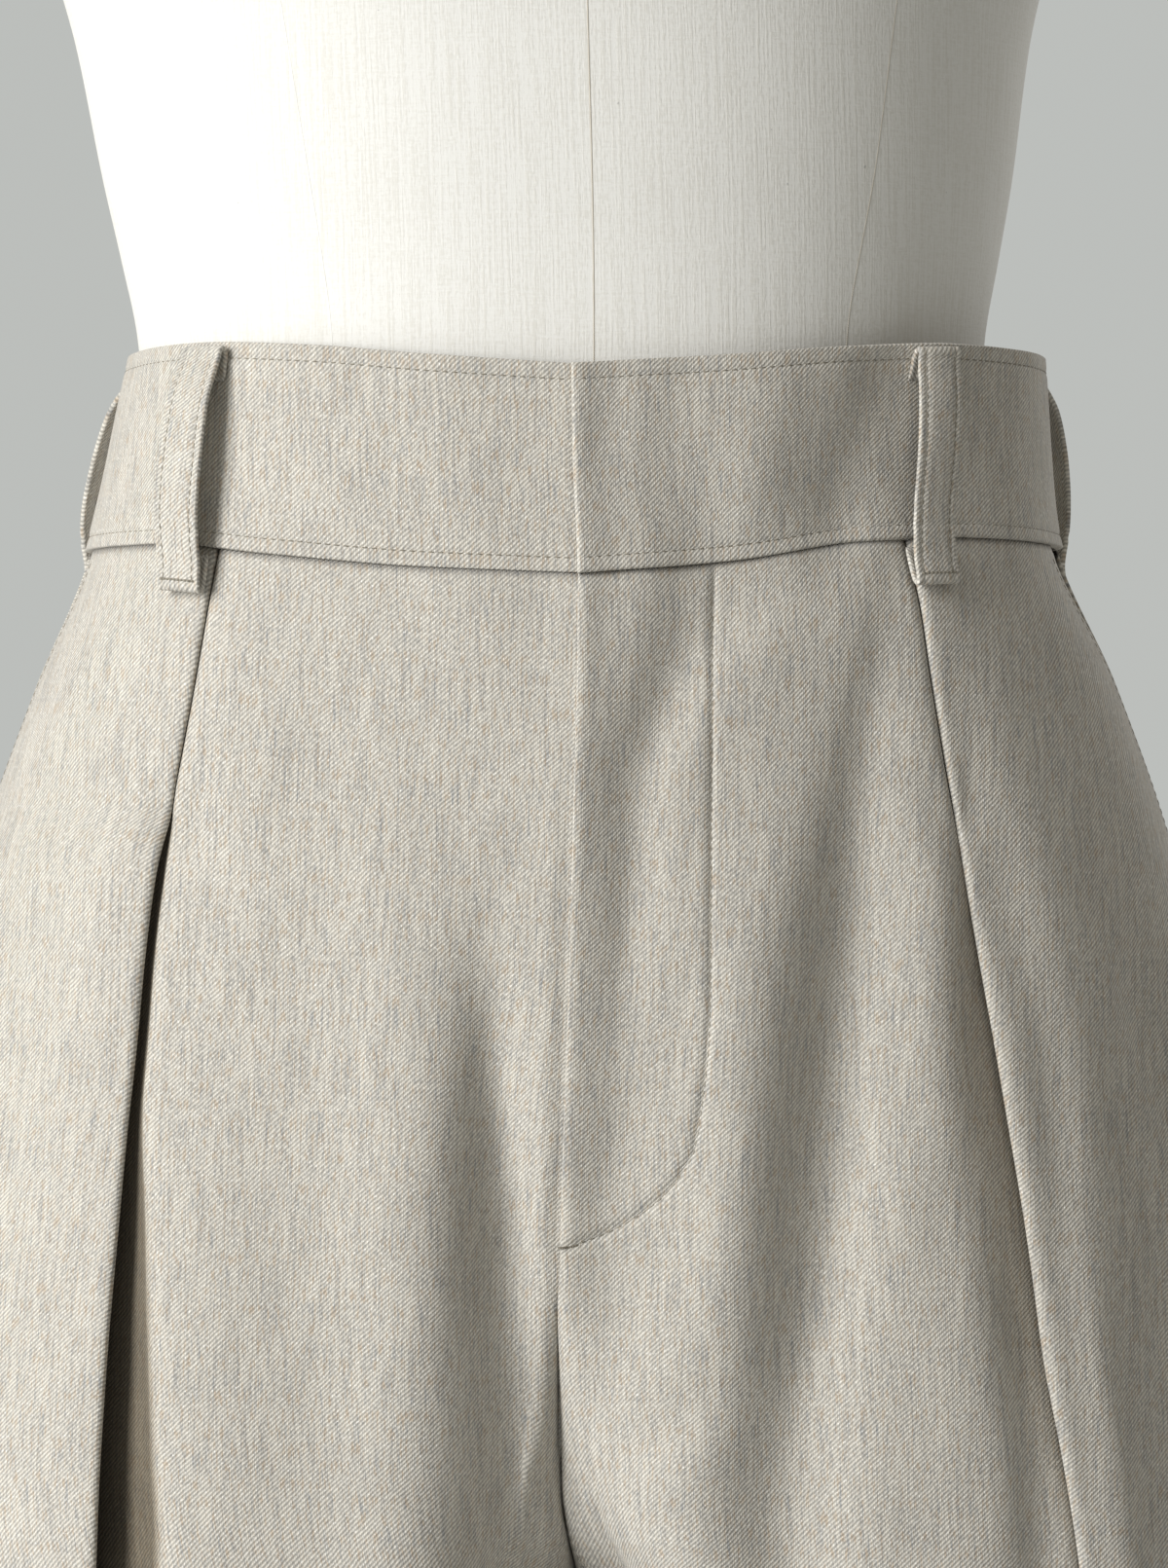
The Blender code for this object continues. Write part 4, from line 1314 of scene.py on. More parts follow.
# --------------------------------------------------------------- the garment
@dataclass
class Fronts:
    """The two fronts, each with one pleat that laps over towards the centre."""

    garment: Garment
    finish: Finish
    row_step: float = 0.0024
    fine_step: float = 0.0009
    fine_rows: tuple = (0.188, 0.220)
    fly_columns: int = 84
    centre_columns: int = 24
    fly_reach: float = 0.0375
    side_columns: int = 38
    fold_step: float = 0.0022
    # the lapping edge: how far from it the lap fades, where the lap ends below
    # the fly, and how far and how wide the edge is rolled back
    lap_fade: tuple = (0.006, 0.034)
    lap_end: tuple = (FLY_END - 0.007, FLY_END + 0.015)
    edge_roll: float = 0.0005
    edge_roll_width: float = 0.0013
    dip_fade: tuple = (-0.0010, 0.0055)
    # how deep in a pleat the painted shade starts and ends, and its share on the left
    shaded: tuple = (0.0003, 0.0042)
    shade_left: float = 0.30
    flat: tuple = (0.335, 0.462)
    flat_area: float = 0.144

    def fly_edge(self, side: Side, drop: float) -> float:
        """Where a front's centre edge is: the right one runs on under the left."""
        return 0.0 if side is Side.LEFT else -float(FLY_DIP.read("under", drop))

    def fly_lift(self, side: Side, drop: float, distance: np.ndarray) -> np.ndarray:
        """The lapping front stands a wall's pitch above the one beneath it."""
        pitch = (CLOTH + 2 * SEAM) / 2
        near = 1.0 - ease(distance, *self.lap_fade)
        lap = side.value * pitch * near * (1.0 - ease(drop, *self.lap_end))
        if side is Side.LEFT:
            return lap - self.edge_roll * np.exp(-(distance / self.edge_roll_width) ** 2)
        dip = float(FLY_DIP.read("dip", drop))
        return lap - dip * (1.0 - ease(distance, *self.dip_fade))

    def pocket_edge(self, drop: float) -> float:
        """How far forward of the side seam the front's edge runs."""
        left_to_go = (POCKET_END - drop) / (POCKET_END - BAND_HEIGHT)
        return POCKET_FORWARD * max(left_to_go, 0.0)

    def pleat_edge(self, side: Side, drop: float) -> float:
        """Distance from the centre seam to the pleat's fold edge."""
        column = "left" if side is Side.LEFT else "right"
        section = self.garment.section(drop, Facing.FRONT)
        return section.distance_at(float(PLEAT_EDGE.read(column, drop)))

    def drops(self) -> np.ndarray:
        """Heights of the rows, closer together at the foot of the fly."""
        first, last = self.fine_rows
        start = BAND_HEIGHT + TUCKED
        above = np.linspace(start, first, int((first - start) / self.row_step))[:-1]
        fine = np.linspace(first, last, int((last - first) / self.fine_step))[:-1]
        below = rolled(last, HEM_DROP, int((HEM_DROP - last) / self.row_step),
                       CLOTH / 2, False, True)
        return np.concatenate((above, fine, below))

    def row(self, side: Side, drop: float) -> Line:
        """One row of a front, from the centre through the pleat to the side.

        Args:
            side: The wearer's side.
            drop: Height of the row.

        Returns:
            The row's points, and their painted shade from 0 to 1, darker deeper in the pleat.
        """
        section = self.garment.section(drop, Facing.FRONT)
        edge = self.pleat_edge(side, drop)
        shut, left, slit, gap = np.split(FOLD_PATH, len(PLEAT_STATES), axis=1)
        left_open, slit_open, gap_open = (float(PLEAT_OPEN.read(name, drop))
                                          for name in PLEAT_OPEN.columns[1:])
        if side is Side.LEFT:
            path = shut + (left - shut) * left_open
        else:
            path = shut + (slit - shut) * slit_open + (gap - slit) * gap_open
        at = smooth_path(gap, self.fold_step, (1.0, 1.0))
        fold = along_path(path, at)
        fold[:, 0] += edge
        half = CLOTH / 2
        reach = self.fly_reach + section.crown_arc - section.crown
        fly = rolled(self.fly_edge(side, drop) + SEAM / 2, reach,
                     self.fly_columns, half, True, False)[:-1]
        centre = np.concatenate((fly, np.linspace(reach, fold[0, 0],
                                                  self.centre_columns + 1)[:-1]))
        sides = rolled(fold[-1, 0], section.length - self.pocket_edge(drop) - SEAM / 2,
                       self.side_columns, half, False, True)[1:]
        places = np.concatenate((centre, fold[:, 0], sides))
        deep = np.concatenate((np.zeros(len(centre)), fold[:, 1], np.zeros(len(sides))))
        lift = self.fly_lift(side, drop, places) - deep
        points = self.garment.points(side, Facing.FRONT, drop, places, lift)
        # painted shade grows with the depth in the pleat, weaker on the wearer's left
        share = self.shade_left if side is Side.LEFT else 1.0
        return points, share * ease(deep, *self.shaded)

    def build(self) -> list[Piece]:
        """Make both fronts.

        Returns:
            The two pieces.
        """
        drops = self.drops()
        made = []
        for side in Side:
            name = f"front_{side.name.lower()}"
            rows = [self.row(side, drop) for drop in drops]
            grid = np.array([points for points, _ in rows])
            shade = np.array([shade for _, shade in rows])
            lengths = cloth_lengths(grid)
            anchor = lengths[:, self.fly_columns][:, None]
            across = side.value * (lengths - anchor + self.fly_reach)
            shape = rolled_wall(grid, False)
            piece = cloth_shell(f"suiting_{name}", grid, shape * CLOTH / 2, across,
                                -drops[:, None], np.array((0.0, -1.0, 0.0)),
                                hem_wall(drops, shape), shade)
            dress(piece, self.finish, "suiting", name)
            made.append(piece)
        return made


@dataclass
class Backs:
    """The two backs, plain but for the seat seam and the hanging folds."""

    garment: Garment
    finish: Finish
    row_step: float = 0.0028
    columns: int = 92
    anchor: float = 0.060
    flat: tuple = (0.330, 0.470)
    flat_area: float = 0.130

    def build(self) -> list[Piece]:
        """Make both backs.

        Returns:
            The two pieces.
        """
        start = BAND_HEIGHT + TUCKED
        count = int((HEM_DROP - start) / self.row_step)
        drops = rolled(start, HEM_DROP, count, CLOTH / 2, False, True)
        made = []
        for side in Side:
            name = f"back_{side.name.lower()}"
            rows, shares = [], []
            for drop in drops:
                section = self.garment.section(drop, Facing.BACK)
                places = rolled(SEAM / 2, section.length - SEAM / 2, self.columns, CLOTH / 2)
                rows.append(self.garment.points(side, Facing.BACK, drop, places))
                anchor = self.anchor + section.crown_arc - section.crown
                shares.append(np.interp(anchor, places, np.arange(len(places))))
            grid = np.array(rows)
            lengths = cloth_lengths(grid)
            starts = np.array([np.interp(share, np.arange(len(line)), line)
                               for share, line in zip(shares, lengths)])
            across = -side.value * (lengths - starts[:, None] + self.anchor)
            shape = rolled_wall(grid, False)
            piece = cloth_shell(f"suiting_{name}", grid, shape * CLOTH / 2, across,
                                -drops[:, None], np.array((0.0, 1.0, 0.0)),
                                hem_wall(drops, shape))
            dress(piece, self.finish, "suiting", name)
            made.append(piece)
        return made


@dataclass
class PocketFacings:
    """What shows behind each slanted pocket edge."""

    garment: Garment
    fronts: Fronts
    finish: Finish
    columns: int = 22
    row_step: float = 0.0030
    cloth_from: float = 0.15
    flat: tuple = (0.045, 0.180)
    flat_area: float = 0.0052

    def build(self) -> list[Piece]:
        """Make both facings.

        Returns:
            The two pieces.
        """
        lowest = POCKET_END + FACING_UNDER
        inward = -(CLOTH + 3 * SEAM)
        start = BAND_HEIGHT + 3 * SEAM
        drops = rolled(start, lowest, int((lowest - start) / self.row_step), CLOTH / 2)
        made = []
        for side in Side:
            name = f"pocket_facing_{side.name.lower()}"
            rows = []
            for drop in drops:
                end = self.garment.section(drop, Facing.FRONT).length - SEAM
                first = end - self.fronts.pocket_edge(drop) - FACING_UNDER
                places = rolled(first, end, self.columns, CLOTH / 2)
                rows.append(self.garment.points(side, Facing.FRONT, drop, places, inward))
            grid = np.array(rows)
            across = side.value * cloth_lengths(grid, self.cloth_from)
            piece = cloth_shell(f"suiting_{name}", grid, rolled_wall(grid) * CLOTH / 2,
                                across, -drops[:, None],
                                np.array((side.value * 0.7, -0.7, 0.0)))
            dress(piece, self.finish, "suiting", name)
            made.append(piece)
        return made


@dataclass
class Waistband:
    """Two front bands, the left lapping over the right, and one back band."""

    garment: Garment
    finish: Finish
    rows: int = 72
    column_step: float = 0.0015
    half_length: float = 0.165
    edge_roll: float = 0.45
    front_flat: tuple = (0.185, 0.060)
    back_flat: tuple = (0.340, 0.060)

    @staticmethod
    def start(side: Side) -> float:
        """Where a front band starts: the right one runs on under the left."""
        return 0.0 if side is Side.LEFT else -(BAND_UNDERLAP + SEAM)

    @staticmethod
    def lap(side: Side, share: np.ndarray) -> np.ndarray:
        """How far out a front band lies, at shares of the way to its side seam."""
        return side.value * BAND_PITCH * (1.0 - ease(share, *BAND_LAP))

    def columns(self, side: Side, facing: Facing, share: np.ndarray, start: float,
                lift: np.ndarray | float, drop: float) -> np.ndarray:
        """Points of one row of a band piece.

        Args:
            side: The wearer's side.
            facing: Front or back.
            share: Places from start (0) to the side seam (1).
            start: Distance of the piece's first edge from the centre.
            lift: Extra outward lift at each place.
            drop: Height of the row.

        Returns:
            The row's points.
        """
        length = self.garment.section(drop, facing).length
        places = start + (length - SEAM / 2 - start) * share
        return self.garment.points(side, facing, drop, places, BAND_PROUD + lift)

    def build(self) -> list[Piece]:
        """Make the three band pieces.

        Returns:
            The pieces.
        """
        half = BAND_WALL / 2
        drops = rolled(0.0, BAND_HEIGHT, self.rows, half * self.edge_roll)
        count = int(self.half_length / self.column_step)
        made = []
        for side in Side:
            start = self.start(side)
            share = rolled(0.0, 1.0, count, half / self.half_length)
            lap = self.lap(side, share)
            grid = np.array([self.columns(side, Facing.FRONT, share, start, lap, drop)
                             for drop in drops])
            made.append(self._piece(f"band_front_{side.name.lower()}", grid, drops,
                                    side.value, start, (0.0, -1.0, 0.0)))
        share = rolled(0.0, 1.0, count, half / self.half_length, False, True)
        rows = []
        for drop in drops:
            right = self.columns(Side.RIGHT, Facing.BACK, share[::-1], 0.0, 0.0, drop)
            left = self.columns(Side.LEFT, Facing.BACK, share[1:], 0.0, 0.0, drop)
            rows.append(np.concatenate((right, left)))
        made.append(self._piece("band_back", np.array(rows), drops, -1, 0.0,
                                (0.0, 1.0, 0.0)))
        return made

    def _piece(self, name: str, grid: np.ndarray, drops: np.ndarray, run: int,
               start: float, outward: tuple) -> Piece:
        """Args:
            name: The part's solid that it stands for.
            grid: Its middle surface.
            drops: The rows' heights.
            run: Which way the cloth's measure across grows.
            start: The measure at its first column.
            outward: The side that shows.

        Returns:
            The piece.
        """
        piece = cloth_shell(f"suiting_{name}", grid, rolled_wall(grid) * BAND_WALL / 2,
                            run * cloth_lengths(grid, start), -drops[:, None],
                            np.array(outward))
        dress(piece, self.finish, "suiting", name)
        return piece


@dataclass(frozen=True)
class LoopPlace:
    """Where a belt loop sits, as shares of the way to the side seam."""

    name: str
    side: Side
    facing: Facing
    top: float
    bottom: float
    # how far it stands off the band, against the other loops
    stand: float = 1.0


@dataclass
class BeltLoops:
    """Five loops, turned under at both ends and standing off the band."""

    garment: Garment
    finish: Finish
    step: float = 0.0011
    columns: int = 22
    stitch_in: float = 0.0019
    groove: float = 0.00028
    groove_width: float = 0.0006
    cloth_apart: float = 0.04
    flat: tuple = (LOOP_WIDTH, 0.086)
    places: tuple = (
        LoopPlace("belt_loop_front_left", Side.LEFT, Facing.FRONT, 0.560, 0.510),
        LoopPlace("belt_loop_front_right", Side.RIGHT, Facing.FRONT, 0.585, 0.540),
        LoopPlace("belt_loop_side_left", Side.LEFT, Facing.BACK, 0.770, 0.770, 1.5),
        LoopPlace("belt_loop_side_right", Side.RIGHT, Facing.BACK, 0.770, 0.770, 1.5),
        LoopPlace("belt_loop_back", Side.LEFT, Facing.BACK, 0.0, 0.0),
    )

    def point(self, loop: LoopPlace, down: float, off: float,
              across: np.ndarray) -> np.ndarray:
        """Points across a loop.

        Args:
            loop: The loop.
            down: How far down it is, as a share of its reach.
            off: How far it stands off the band.
            across: Places across it.

        Returns:
            The points.
        """
        drop = (BAND_HEIGHT + LOOP_BELOW_BAND) * down
        length = self.garment.section(drop, loop.facing).length
        middle = length * (loop.top + (loop.bottom - loop.top) * down)
        in_from_edge = LOOP_WIDTH / 2 - self.stitch_in - np.abs(np.asarray(across))
        sewn = self.groove * np.exp(-(in_from_edge / self.groove_width) ** 2)
        off = LOOP_PATH[0, 1] + (off - LOOP_PATH[0, 1]) * loop.stand
        lift = BAND_PROUD + BAND_WALL / 2 + off - sewn
        return self.garment.points(loop.side, loop.facing, drop, middle + across, lift)

    def build(self) -> list[Piece]:
        """Make the five loops.

        Returns:
            The pieces.
        """
        reach = BAND_HEIGHT + LOOP_BELOW_BAND
        path = along_path(LOOP_PATH, smooth_path(LOOP_PATH, self.step, (reach, 1.0)))
        half = LOOP_WALL / 2
        across = rolled(-LOOP_WIDTH / 2, LOOP_WIDTH / 2, self.columns, half)
        middle, outer = len(across) // 2, len(path) // 2
        made = []
        for number, loop in enumerate(self.places):
            grid = np.array([self.point(loop, down, off, across) for down, off in path])
            normals = grid_normals(grid)
            level = grid[outer, middle] * np.array((1.0, 1.0, 0.0))
            sign = 1.0 if float(normals[outer, middle] @ level) > 0.0 else -1.0
            down = -path_lengths(grid[:, middle])[:, None]
            piece = cloth_shell(f"suiting_{loop.name}", grid, rolled_wall(grid) * half,
                                across * loop.side.value + self.cloth_apart * number, down,
                                sign * normals)
            dress(piece, self.finish, "suiting", loop.name)
            made.append(piece)
        return made

    def over(self, loop: LoopPlace, path: np.ndarray,
             across: Sequence[float]) -> Line:
        """A line over a loop's outer side.

        Args:
            loop: The loop.
            path: How far down and how far off the band each of its rows is.
            across: Places across the loop, for every row.

        Returns:
            The points and the outward directions.
        """
        low, high = (np.concatenate([
            self.point(loop, down, off + LOOP_WALL / 2 + extra, across)
            for down, off in path]) for extra in (0.0, PROBE))
        return low, (high - low) / PROBE


# ---------------------------------------------------------------- the sewing
@dataclass(frozen=True)
class Stitch:
    """Sizes of a stitch: its pitch, its length and half the thread's thickness."""

    pitch: float = 0.0024
    length: float = 0.0018
    radius: float = 0.00020


@dataclass
class Topstitching:
    """Every visible stitch, as small sunk lengths of thread."""

    garment: Garment
    fronts: Fronts
    loops: BeltLoops
    finish: Finish
    tack_finish: Finish
    topstitch: Stitch = Stitch()
    loop_tack: Stitch = Stitch(0.0011, 0.0011, 0.00034)
    bar_tack: Stitch = Stitch(0.0006, 0.0016, 0.00032)
    proud: float = 0.00003
    sides: int = 6
    thread_round: float = 0.001
    feel: float = 0.0004
    # along a stitch, as a share of its length: how thick it is and how far out
    # it stands, in radii
    profile: tuple = ((-0.5, 0.35, -1.1), (-0.36, 0.9, -0.25), (0.0, 1.0, 0.0),
                      (0.36, 0.9, -0.25), (0.5, 0.35, -1.1))
    # how far in from the band's lapping edge, its edge beneath and its side
    # seam the stitching keeps, and how often a line is measured
    lap_in: float = 0.0018
    under_in: float = 0.0010
    seam_in: float = 0.0012
    sample: float = 0.0020
    # the pocket's stitching: its distance from the edge, reach and measuring
    pocket_in: float = 0.0032
    pocket_reach: tuple = (0.0535, POCKET_END - 0.006)
    pocket_sample: float = 0.003
    fly_samples: int = 90
    # a loop's outer run in LOOP_PATH, and how far from its ends stitching keeps
    loop_run: tuple = (4, 12)
    loop_clear: float = 0.2
    loop_samples: int = 40
    tack_in: float = 0.001
    tack_samples: int = 6
    # how far down a loop its tack is, as a share, and how far off the band
    tack_row: tuple = (0.965, 0.0038)
    fly_tack: tuple = ((0.0002, 0.2158), (0.0020, 0.2157), (0.0044, 0.2152))

    def stitches(self, name: str, lines: Sequence[Line], finish: Finish,
                 stitch: Stitch) -> Piece:
        """One joined mesh of all the stitches along some lines.

        Args:
            name: Name of the piece.
            lines: For each line its points and outward directions.
            finish: The thread.
            stitch: The stitches' sizes.

        Returns:
            The piece.
        """
        turn = np.arange(self.sides) * 2 * math.pi / self.sides
        stations, thick, stand = (np.array(self.profile)
                                  * np.array((stitch.length, stitch.radius, stitch.radius))).T
        points, faces, uvs = [], [], []
        count = 0
        cells = self._closed_tube(len(stations))
        for line, outs in lines:
            arc = path_lengths(line)
            number = max(int(round(arc[-1] / stitch.pitch)), 1)
            for i in range(number):
                centre = (i + 0.5) * arc[-1] / number
                p, a, b, out = (
                    np.array([np.interp(s, arc, source[:, k]) for k in range(3)])
                    for s, source in ((centre, line), (centre - self.feel, line),
                                      (centre + self.feel, line), (centre, outs)))
                run = (b - a) / np.linalg.norm(b - a)
                out = out - run * float(out @ run)
                out /= np.linalg.norm(out)
                cross = np.cross(run, out)
                ring = np.cos(turn)[:, None] * out + np.sin(turn)[:, None] * cross
                body = (p + run * stations[:, None, None] + ring * thick[:, None, None]
                        + out * (stand[:, None, None] + self.proud))
                points.append(body.reshape(-1, 3))
                faces.append(cells + count)
                u, v = np.broadcast_arrays(turn / (2 * math.pi) * self.thread_round,
                                           (stations + centre)[:, None])
                uvs.append(np.stack((u, v), axis=2).reshape(-1, 2))
                count += len(points[-1])
        piece = mesh_object(name, np.concatenate(points), np.concatenate(faces),
                            np.concatenate(uvs))
        return dress(piece, finish, "suiting")

    def _closed_tube(self, rings: int) -> np.ndarray:
        """Quads of a tube with both ends closed."""
        caps = []
        for base in (0, (rings - 1) * self.sides):
            order = list(range(base, base + self.sides))[::1 if base else -1]
            caps += [(order[0], *order[i:i + 3]) for i in range(1, self.sides - 2, 2)]
        return np.concatenate((tube_faces(rings, self.sides), np.array(caps)))

    def line(self, side: Side, facing: Facing,
             rows: Sequence[tuple[float, float, float]]) -> Line:
        """A line over the cloth's outer side.

        Args:
            side: The wearer's side.
            facing: Front or back.
            rows: Drop, distance and outward lift of each point.

        Returns:
            The points and the outward directions.
        """
        low, high = (np.concatenate([
            self.garment.points(side, facing, drop, distance, lift + extra)
            for drop, distance, lift in rows]) for extra in (0.0, PROBE))
        return low, (high - low) / PROBE

    def band_lines(self) -> list[Line]:
        """Both rows of stitching round the band."""
        lines = []
        outside = BAND_PROUD + BAND_WALL / 2
        for drop in (BAND_STITCH_TOP, BAND_STITCH_BOTTOM):
            length, back = (self.garment.section(drop, facing).length
                            for facing in (Facing.FRONT, Facing.BACK))
            for side in Side:
                start = Waistband.start(side)
                first = self.lap_in if side is Side.LEFT else self.under_in
                places = np.arange(first, length - self.seam_in, self.sample)
                laps = Waistband.lap(side, (places - start) / (length - SEAM / 2 - start))
                lines.append(self.line(side, Facing.FRONT, [
                    (drop, place, outside + lap) for place, lap in zip(places, laps)]))
                lines.append(self.line(side, Facing.BACK, [
                    (drop, place, outside)
                    for place in np.arange(self.seam_in, back - self.seam_in, self.sample)]))
        return lines

    def pocket_lines(self) -> list[Line]:
        """The stitching along each pocket's slanted edge."""
        rows = [(drop, self.garment.section(drop, Facing.FRONT).length
                 - self.fronts.pocket_edge(drop) - self.pocket_in, CLOTH / 2)
                for drop in np.arange(*self.pocket_reach, self.pocket_sample)]
        return [self.line(side, Facing.FRONT, rows) for side in Side]

    def fly_line(self, spots: Sequence[tuple[float, float]]) -> Line:
        """A line on the left front through places round the body and drops."""
        rows = []
        path = np.array(spots)
        for at, drop in along_path(path, np.linspace(0.0, len(path) - 1, self.fly_samples)):
            section = self.garment.section(drop, Facing.FRONT)
            place = at - section.crown + section.crown_arc
            lap = float(self.fronts.fly_lift(Side.LEFT, drop, np.array(place)))
            rows.append((drop, place, CLOTH / 2 + lap))
        return self.line(Side.LEFT, Facing.FRONT, rows)

    def loop_lines(self) -> list[Line]:
        """Two rows down the outer run of each belt loop."""
        outer = LOOP_PATH[slice(*self.loop_run)]
        path = along_path(outer, np.linspace(
            self.loop_clear, len(outer) - 1 - self.loop_clear, self.loop_samples))
        aside = LOOP_WIDTH / 2 - self.loops.stitch_in
        return [self.loops.over(loop, path, [across])
                for loop in self.loops.places for across in (-aside, aside)]

    def loop_tacks(self) -> list[Line]:
        """The row of stitches across each loop's lower end."""
        reach = LOOP_WIDTH / 2 - self.tack_in
        across = np.linspace(-reach, reach, self.tack_samples)
        return [self.loops.over(loop, np.array([self.tack_row]), across)
                for loop in self.loops.places]

    def build(self) -> list[Piece]:
        """Make all the stitching.

        Returns:
            The pieces.
        """
        fly, tack = (self.fly_line(spots) for spots in (FLY_SEWING.path[1:], self.fly_tack))
        thread = self.finish
        return [
            self.stitches("stitching_band", self.band_lines(), thread, self.topstitch),
            self.stitches("stitching_fly", [fly], thread, self.topstitch),
            self.stitches("stitching_pockets", self.pocket_lines(), thread, self.topstitch),
            self.stitches("stitching_loops", self.loop_lines(), thread, self.topstitch),
            self.stitches("stitching_loop_tacks", self.loop_tacks(), thread, self.loop_tack),
            self.stitches("fly_tack", [tack], self.tack_finish, self.bar_tack),
        ]


# ------------------------------------------------------------- the dress form
@dataclass
class DressForm:
    """The limbless torso: a fine loft with its cover's seams."""

    finish: Finish
    seam_finish: Finish
    around: int = 168
    rows: int = 190
    seam_width: float = 0.00042
    seam_proud: float = 0.00006
    seam_sunk: float = 0.0001
    seam_step: float = 0.003
    seam_clear: tuple = (0.002, 0.001)
    seam_apart: float = 0.01
    # height and share of the half width of each upright seam, front then back
    front_seams: tuple = (
        ((-0.235, 0.085), (0.430, 0.060)),
        ((-0.235, 0.640), (0.008, 0.657), (0.050, 0.680), (0.089, 0.694),
         (0.175, 0.640), (0.260, 0.585), (0.320, 0.560), (0.360, 0.640)),
        ((-0.235, -0.515), (0.008, -0.523), (0.050, -0.530), (0.089, -0.540),
         (0.175, -0.520), (0.260, -0.500), (0.320, -0.500), (0.360, -0.600)),
    )
    back_seams: tuple = (
        ((-0.235, -0.060), (0.430, -0.040)),
        ((-0.235, 0.540), (0.050, 0.560), (0.175, 0.560), (0.320, 0.520), (0.360, 0.600)),
        ((-0.235, -0.620), (0.050, -0.640), (0.175, -0.620), (0.320, -0.580),
         (0.360, -0.640)),
    )

    def shift(self, height: float) -> float:
        """The form touches the band on the wearer's right, and leans that way."""
        contact = float(RISE.read("top", 1.0)) + BAND_WALL
        inside = float(SECTIONS.read("half_width", 0.0)) + BAND_PROUD - BAND_WALL / 2
        inside -= float(SWAY.read("whole", 0.0))
        half = float(FORM.read("half_width", contact))
        return half + SEAM - inside - FORM_LEAN * ease(height, 0.0, FORM_LEAN_END)

    def ring(self, height: float, turn: np.ndarray, lift: float = 0.0) -> np.ndarray:
        """Points round the form.

        Args:
            height: Height above the waist.
            turn: Angles from the centre front.
            lift: How far outside the cover.

        Returns:
            The points.
        """
        half, front, back, square = (float(FORM.read(name, height))
                                     for name in FORM.columns[1:])
        sine, cosine = np.sin(turn), np.cos(turn)
        x = np.sign(sine) * np.abs(sine) ** (2.0 / square)
        y = -np.sign(cosine) * np.abs(cosine) ** (2.0 / square)
        deep = np.where(cosine > 0.0, front, back)
        return np.stack((x * (half + lift) + self.shift(height), y * (deep + lift),
                         np.full(len(turn), WAIST_Z + height)), axis=1)

    def build(self) -> list[Piece]:
        """Make the torso and its seams.

        Returns:
            The pieces.
        """
        heights = np.linspace(-FORM_BOTTOM, FORM.rows[-1, 0], self.rows)
        turn = np.linspace(0.0, 2 * math.pi, self.around + 1)
        grid = np.array([self.ring(height, turn) for height in heights])
        columns = self.around + 1
        corners = grid_faces(self.rows, columns)
        lengths = cloth_lengths(grid)
        across = lengths.ravel()[corners]
        behind = np.tile(np.arange(self.around) >= self.around // 2, self.rows - 1)
        across[behind] -= lengths[corners[behind] // columns, -1]
        up = np.repeat(heights, columns)[corners]
        loops = np.stack((across, up), axis=2).reshape(-1, 2)
        torso = mesh_object("linen_torso", grid[:, :-1].reshape(-1, 3),
                            tube_faces(self.rows, self.around))
        layer = torso.data.uv_layers.new(name="cloth")
        layer.uv.foreach_set("vector", loops.astype(np.float32).ravel())
        self._close(torso)
        dress(torso, self.finish, "form_linen", "form_torso")
        seams = self._seams("linen_seams", self.seam_finish, self.front_seams[:2],
                            self.back_seams)
        faint = self._seams("linen_seam_faint", self.finish, self.front_seams[2:], ())
        return [torso, seams, faint]

    def _close(self, torso: Piece) -> None:
        """Close the flat underside and the neck's top.

        Args:
            torso: The open loft.
        """
        shape = bmesh.new()
        shape.from_mesh(torso.data)
        layer = shape.loops.layers.uv["cloth"]
        bmesh.ops.holes_fill(shape, edges=[e for e in shape.edges if e.is_boundary])
        for face in shape.faces:
            if len(face.verts) > 4:
                face.smooth = False
                for corner in face.loops:
                    corner[layer].uv = corner.vert.co.xy
                for edge in face.edges:
                    edge.smooth = False
        bmesh.ops.recalc_face_normals(shape, faces=shape.faces)
        shape.to_mesh(torso.data)
        shape.free()

    def _seams(self, name: str, finish: Finish, front: tuple,
               back: tuple) -> Piece:
        """Some of the cover's seams, as fine flat cords that lie on it.

        Args:
            name: The piece's name.
            finish: Its finish.
            front: The seams that run up the front.
            back: The seams that run up the back.

        Returns:
            The piece.
        """
        points, faces, uvs = [], [], []
        count = 0
        for facing, seams in ((1.0, front), (-1.0, back)):
            for number, seam in enumerate(seams):
                table = Table(("height", "share"), seam)
                heights = np.arange(seam[0][0] + self.seam_clear[0],
                                    seam[-1][0] - self.seam_clear[1], self.seam_step)
                for height in heights:
                    share = float(table.read("share", height))
                    square = float(FORM.read("square", height))
                    half = float(FORM.read("half_width", height))
                    angle = math.asin(min(abs(share), 1.0) ** (square / 2.0))
                    angle = math.copysign(angle, share)
                    angle = angle if facing > 0 else math.pi - angle
                    side = self.seam_width / 2 / half
                    spots = angle + side * np.array((-1.0, -0.5, 0.5, 1.0))
                    low = self.ring(height, spots, -self.seam_sunk)
                    high = self.ring(height, spots, self.seam_proud)
                    points.append(np.stack((low[0], high[1], high[2], low[3])))
                    across = np.arange(4) * self.seam_width / 2 + number * self.seam_apart
                    uvs.append(np.stack((across, np.full(4, height)), axis=1))
                faces.append(grid_faces(len(heights), 4, count))
                count += len(heights) * 4
        piece = mesh_object(name, np.concatenate(points), np.concatenate(faces),
                            np.concatenate(uvs))
        return dress(piece, finish, "form_linen")


@dataclass
class Stand:
    """The posts and the base keep their shapes and get their paint."""

    finish: Finish
    nodes: tuple = ("form_base", "form_post_left", "form_post_right")

    def build(self) -> list[Piece]:
        """Paint the stand.

        Returns:
            Its nodes.
        """
        made = [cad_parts[name] for name in self.nodes]
        for node in made:
            node.data.materials.clear()
            node.data.materials.append(self.finish)
        return made


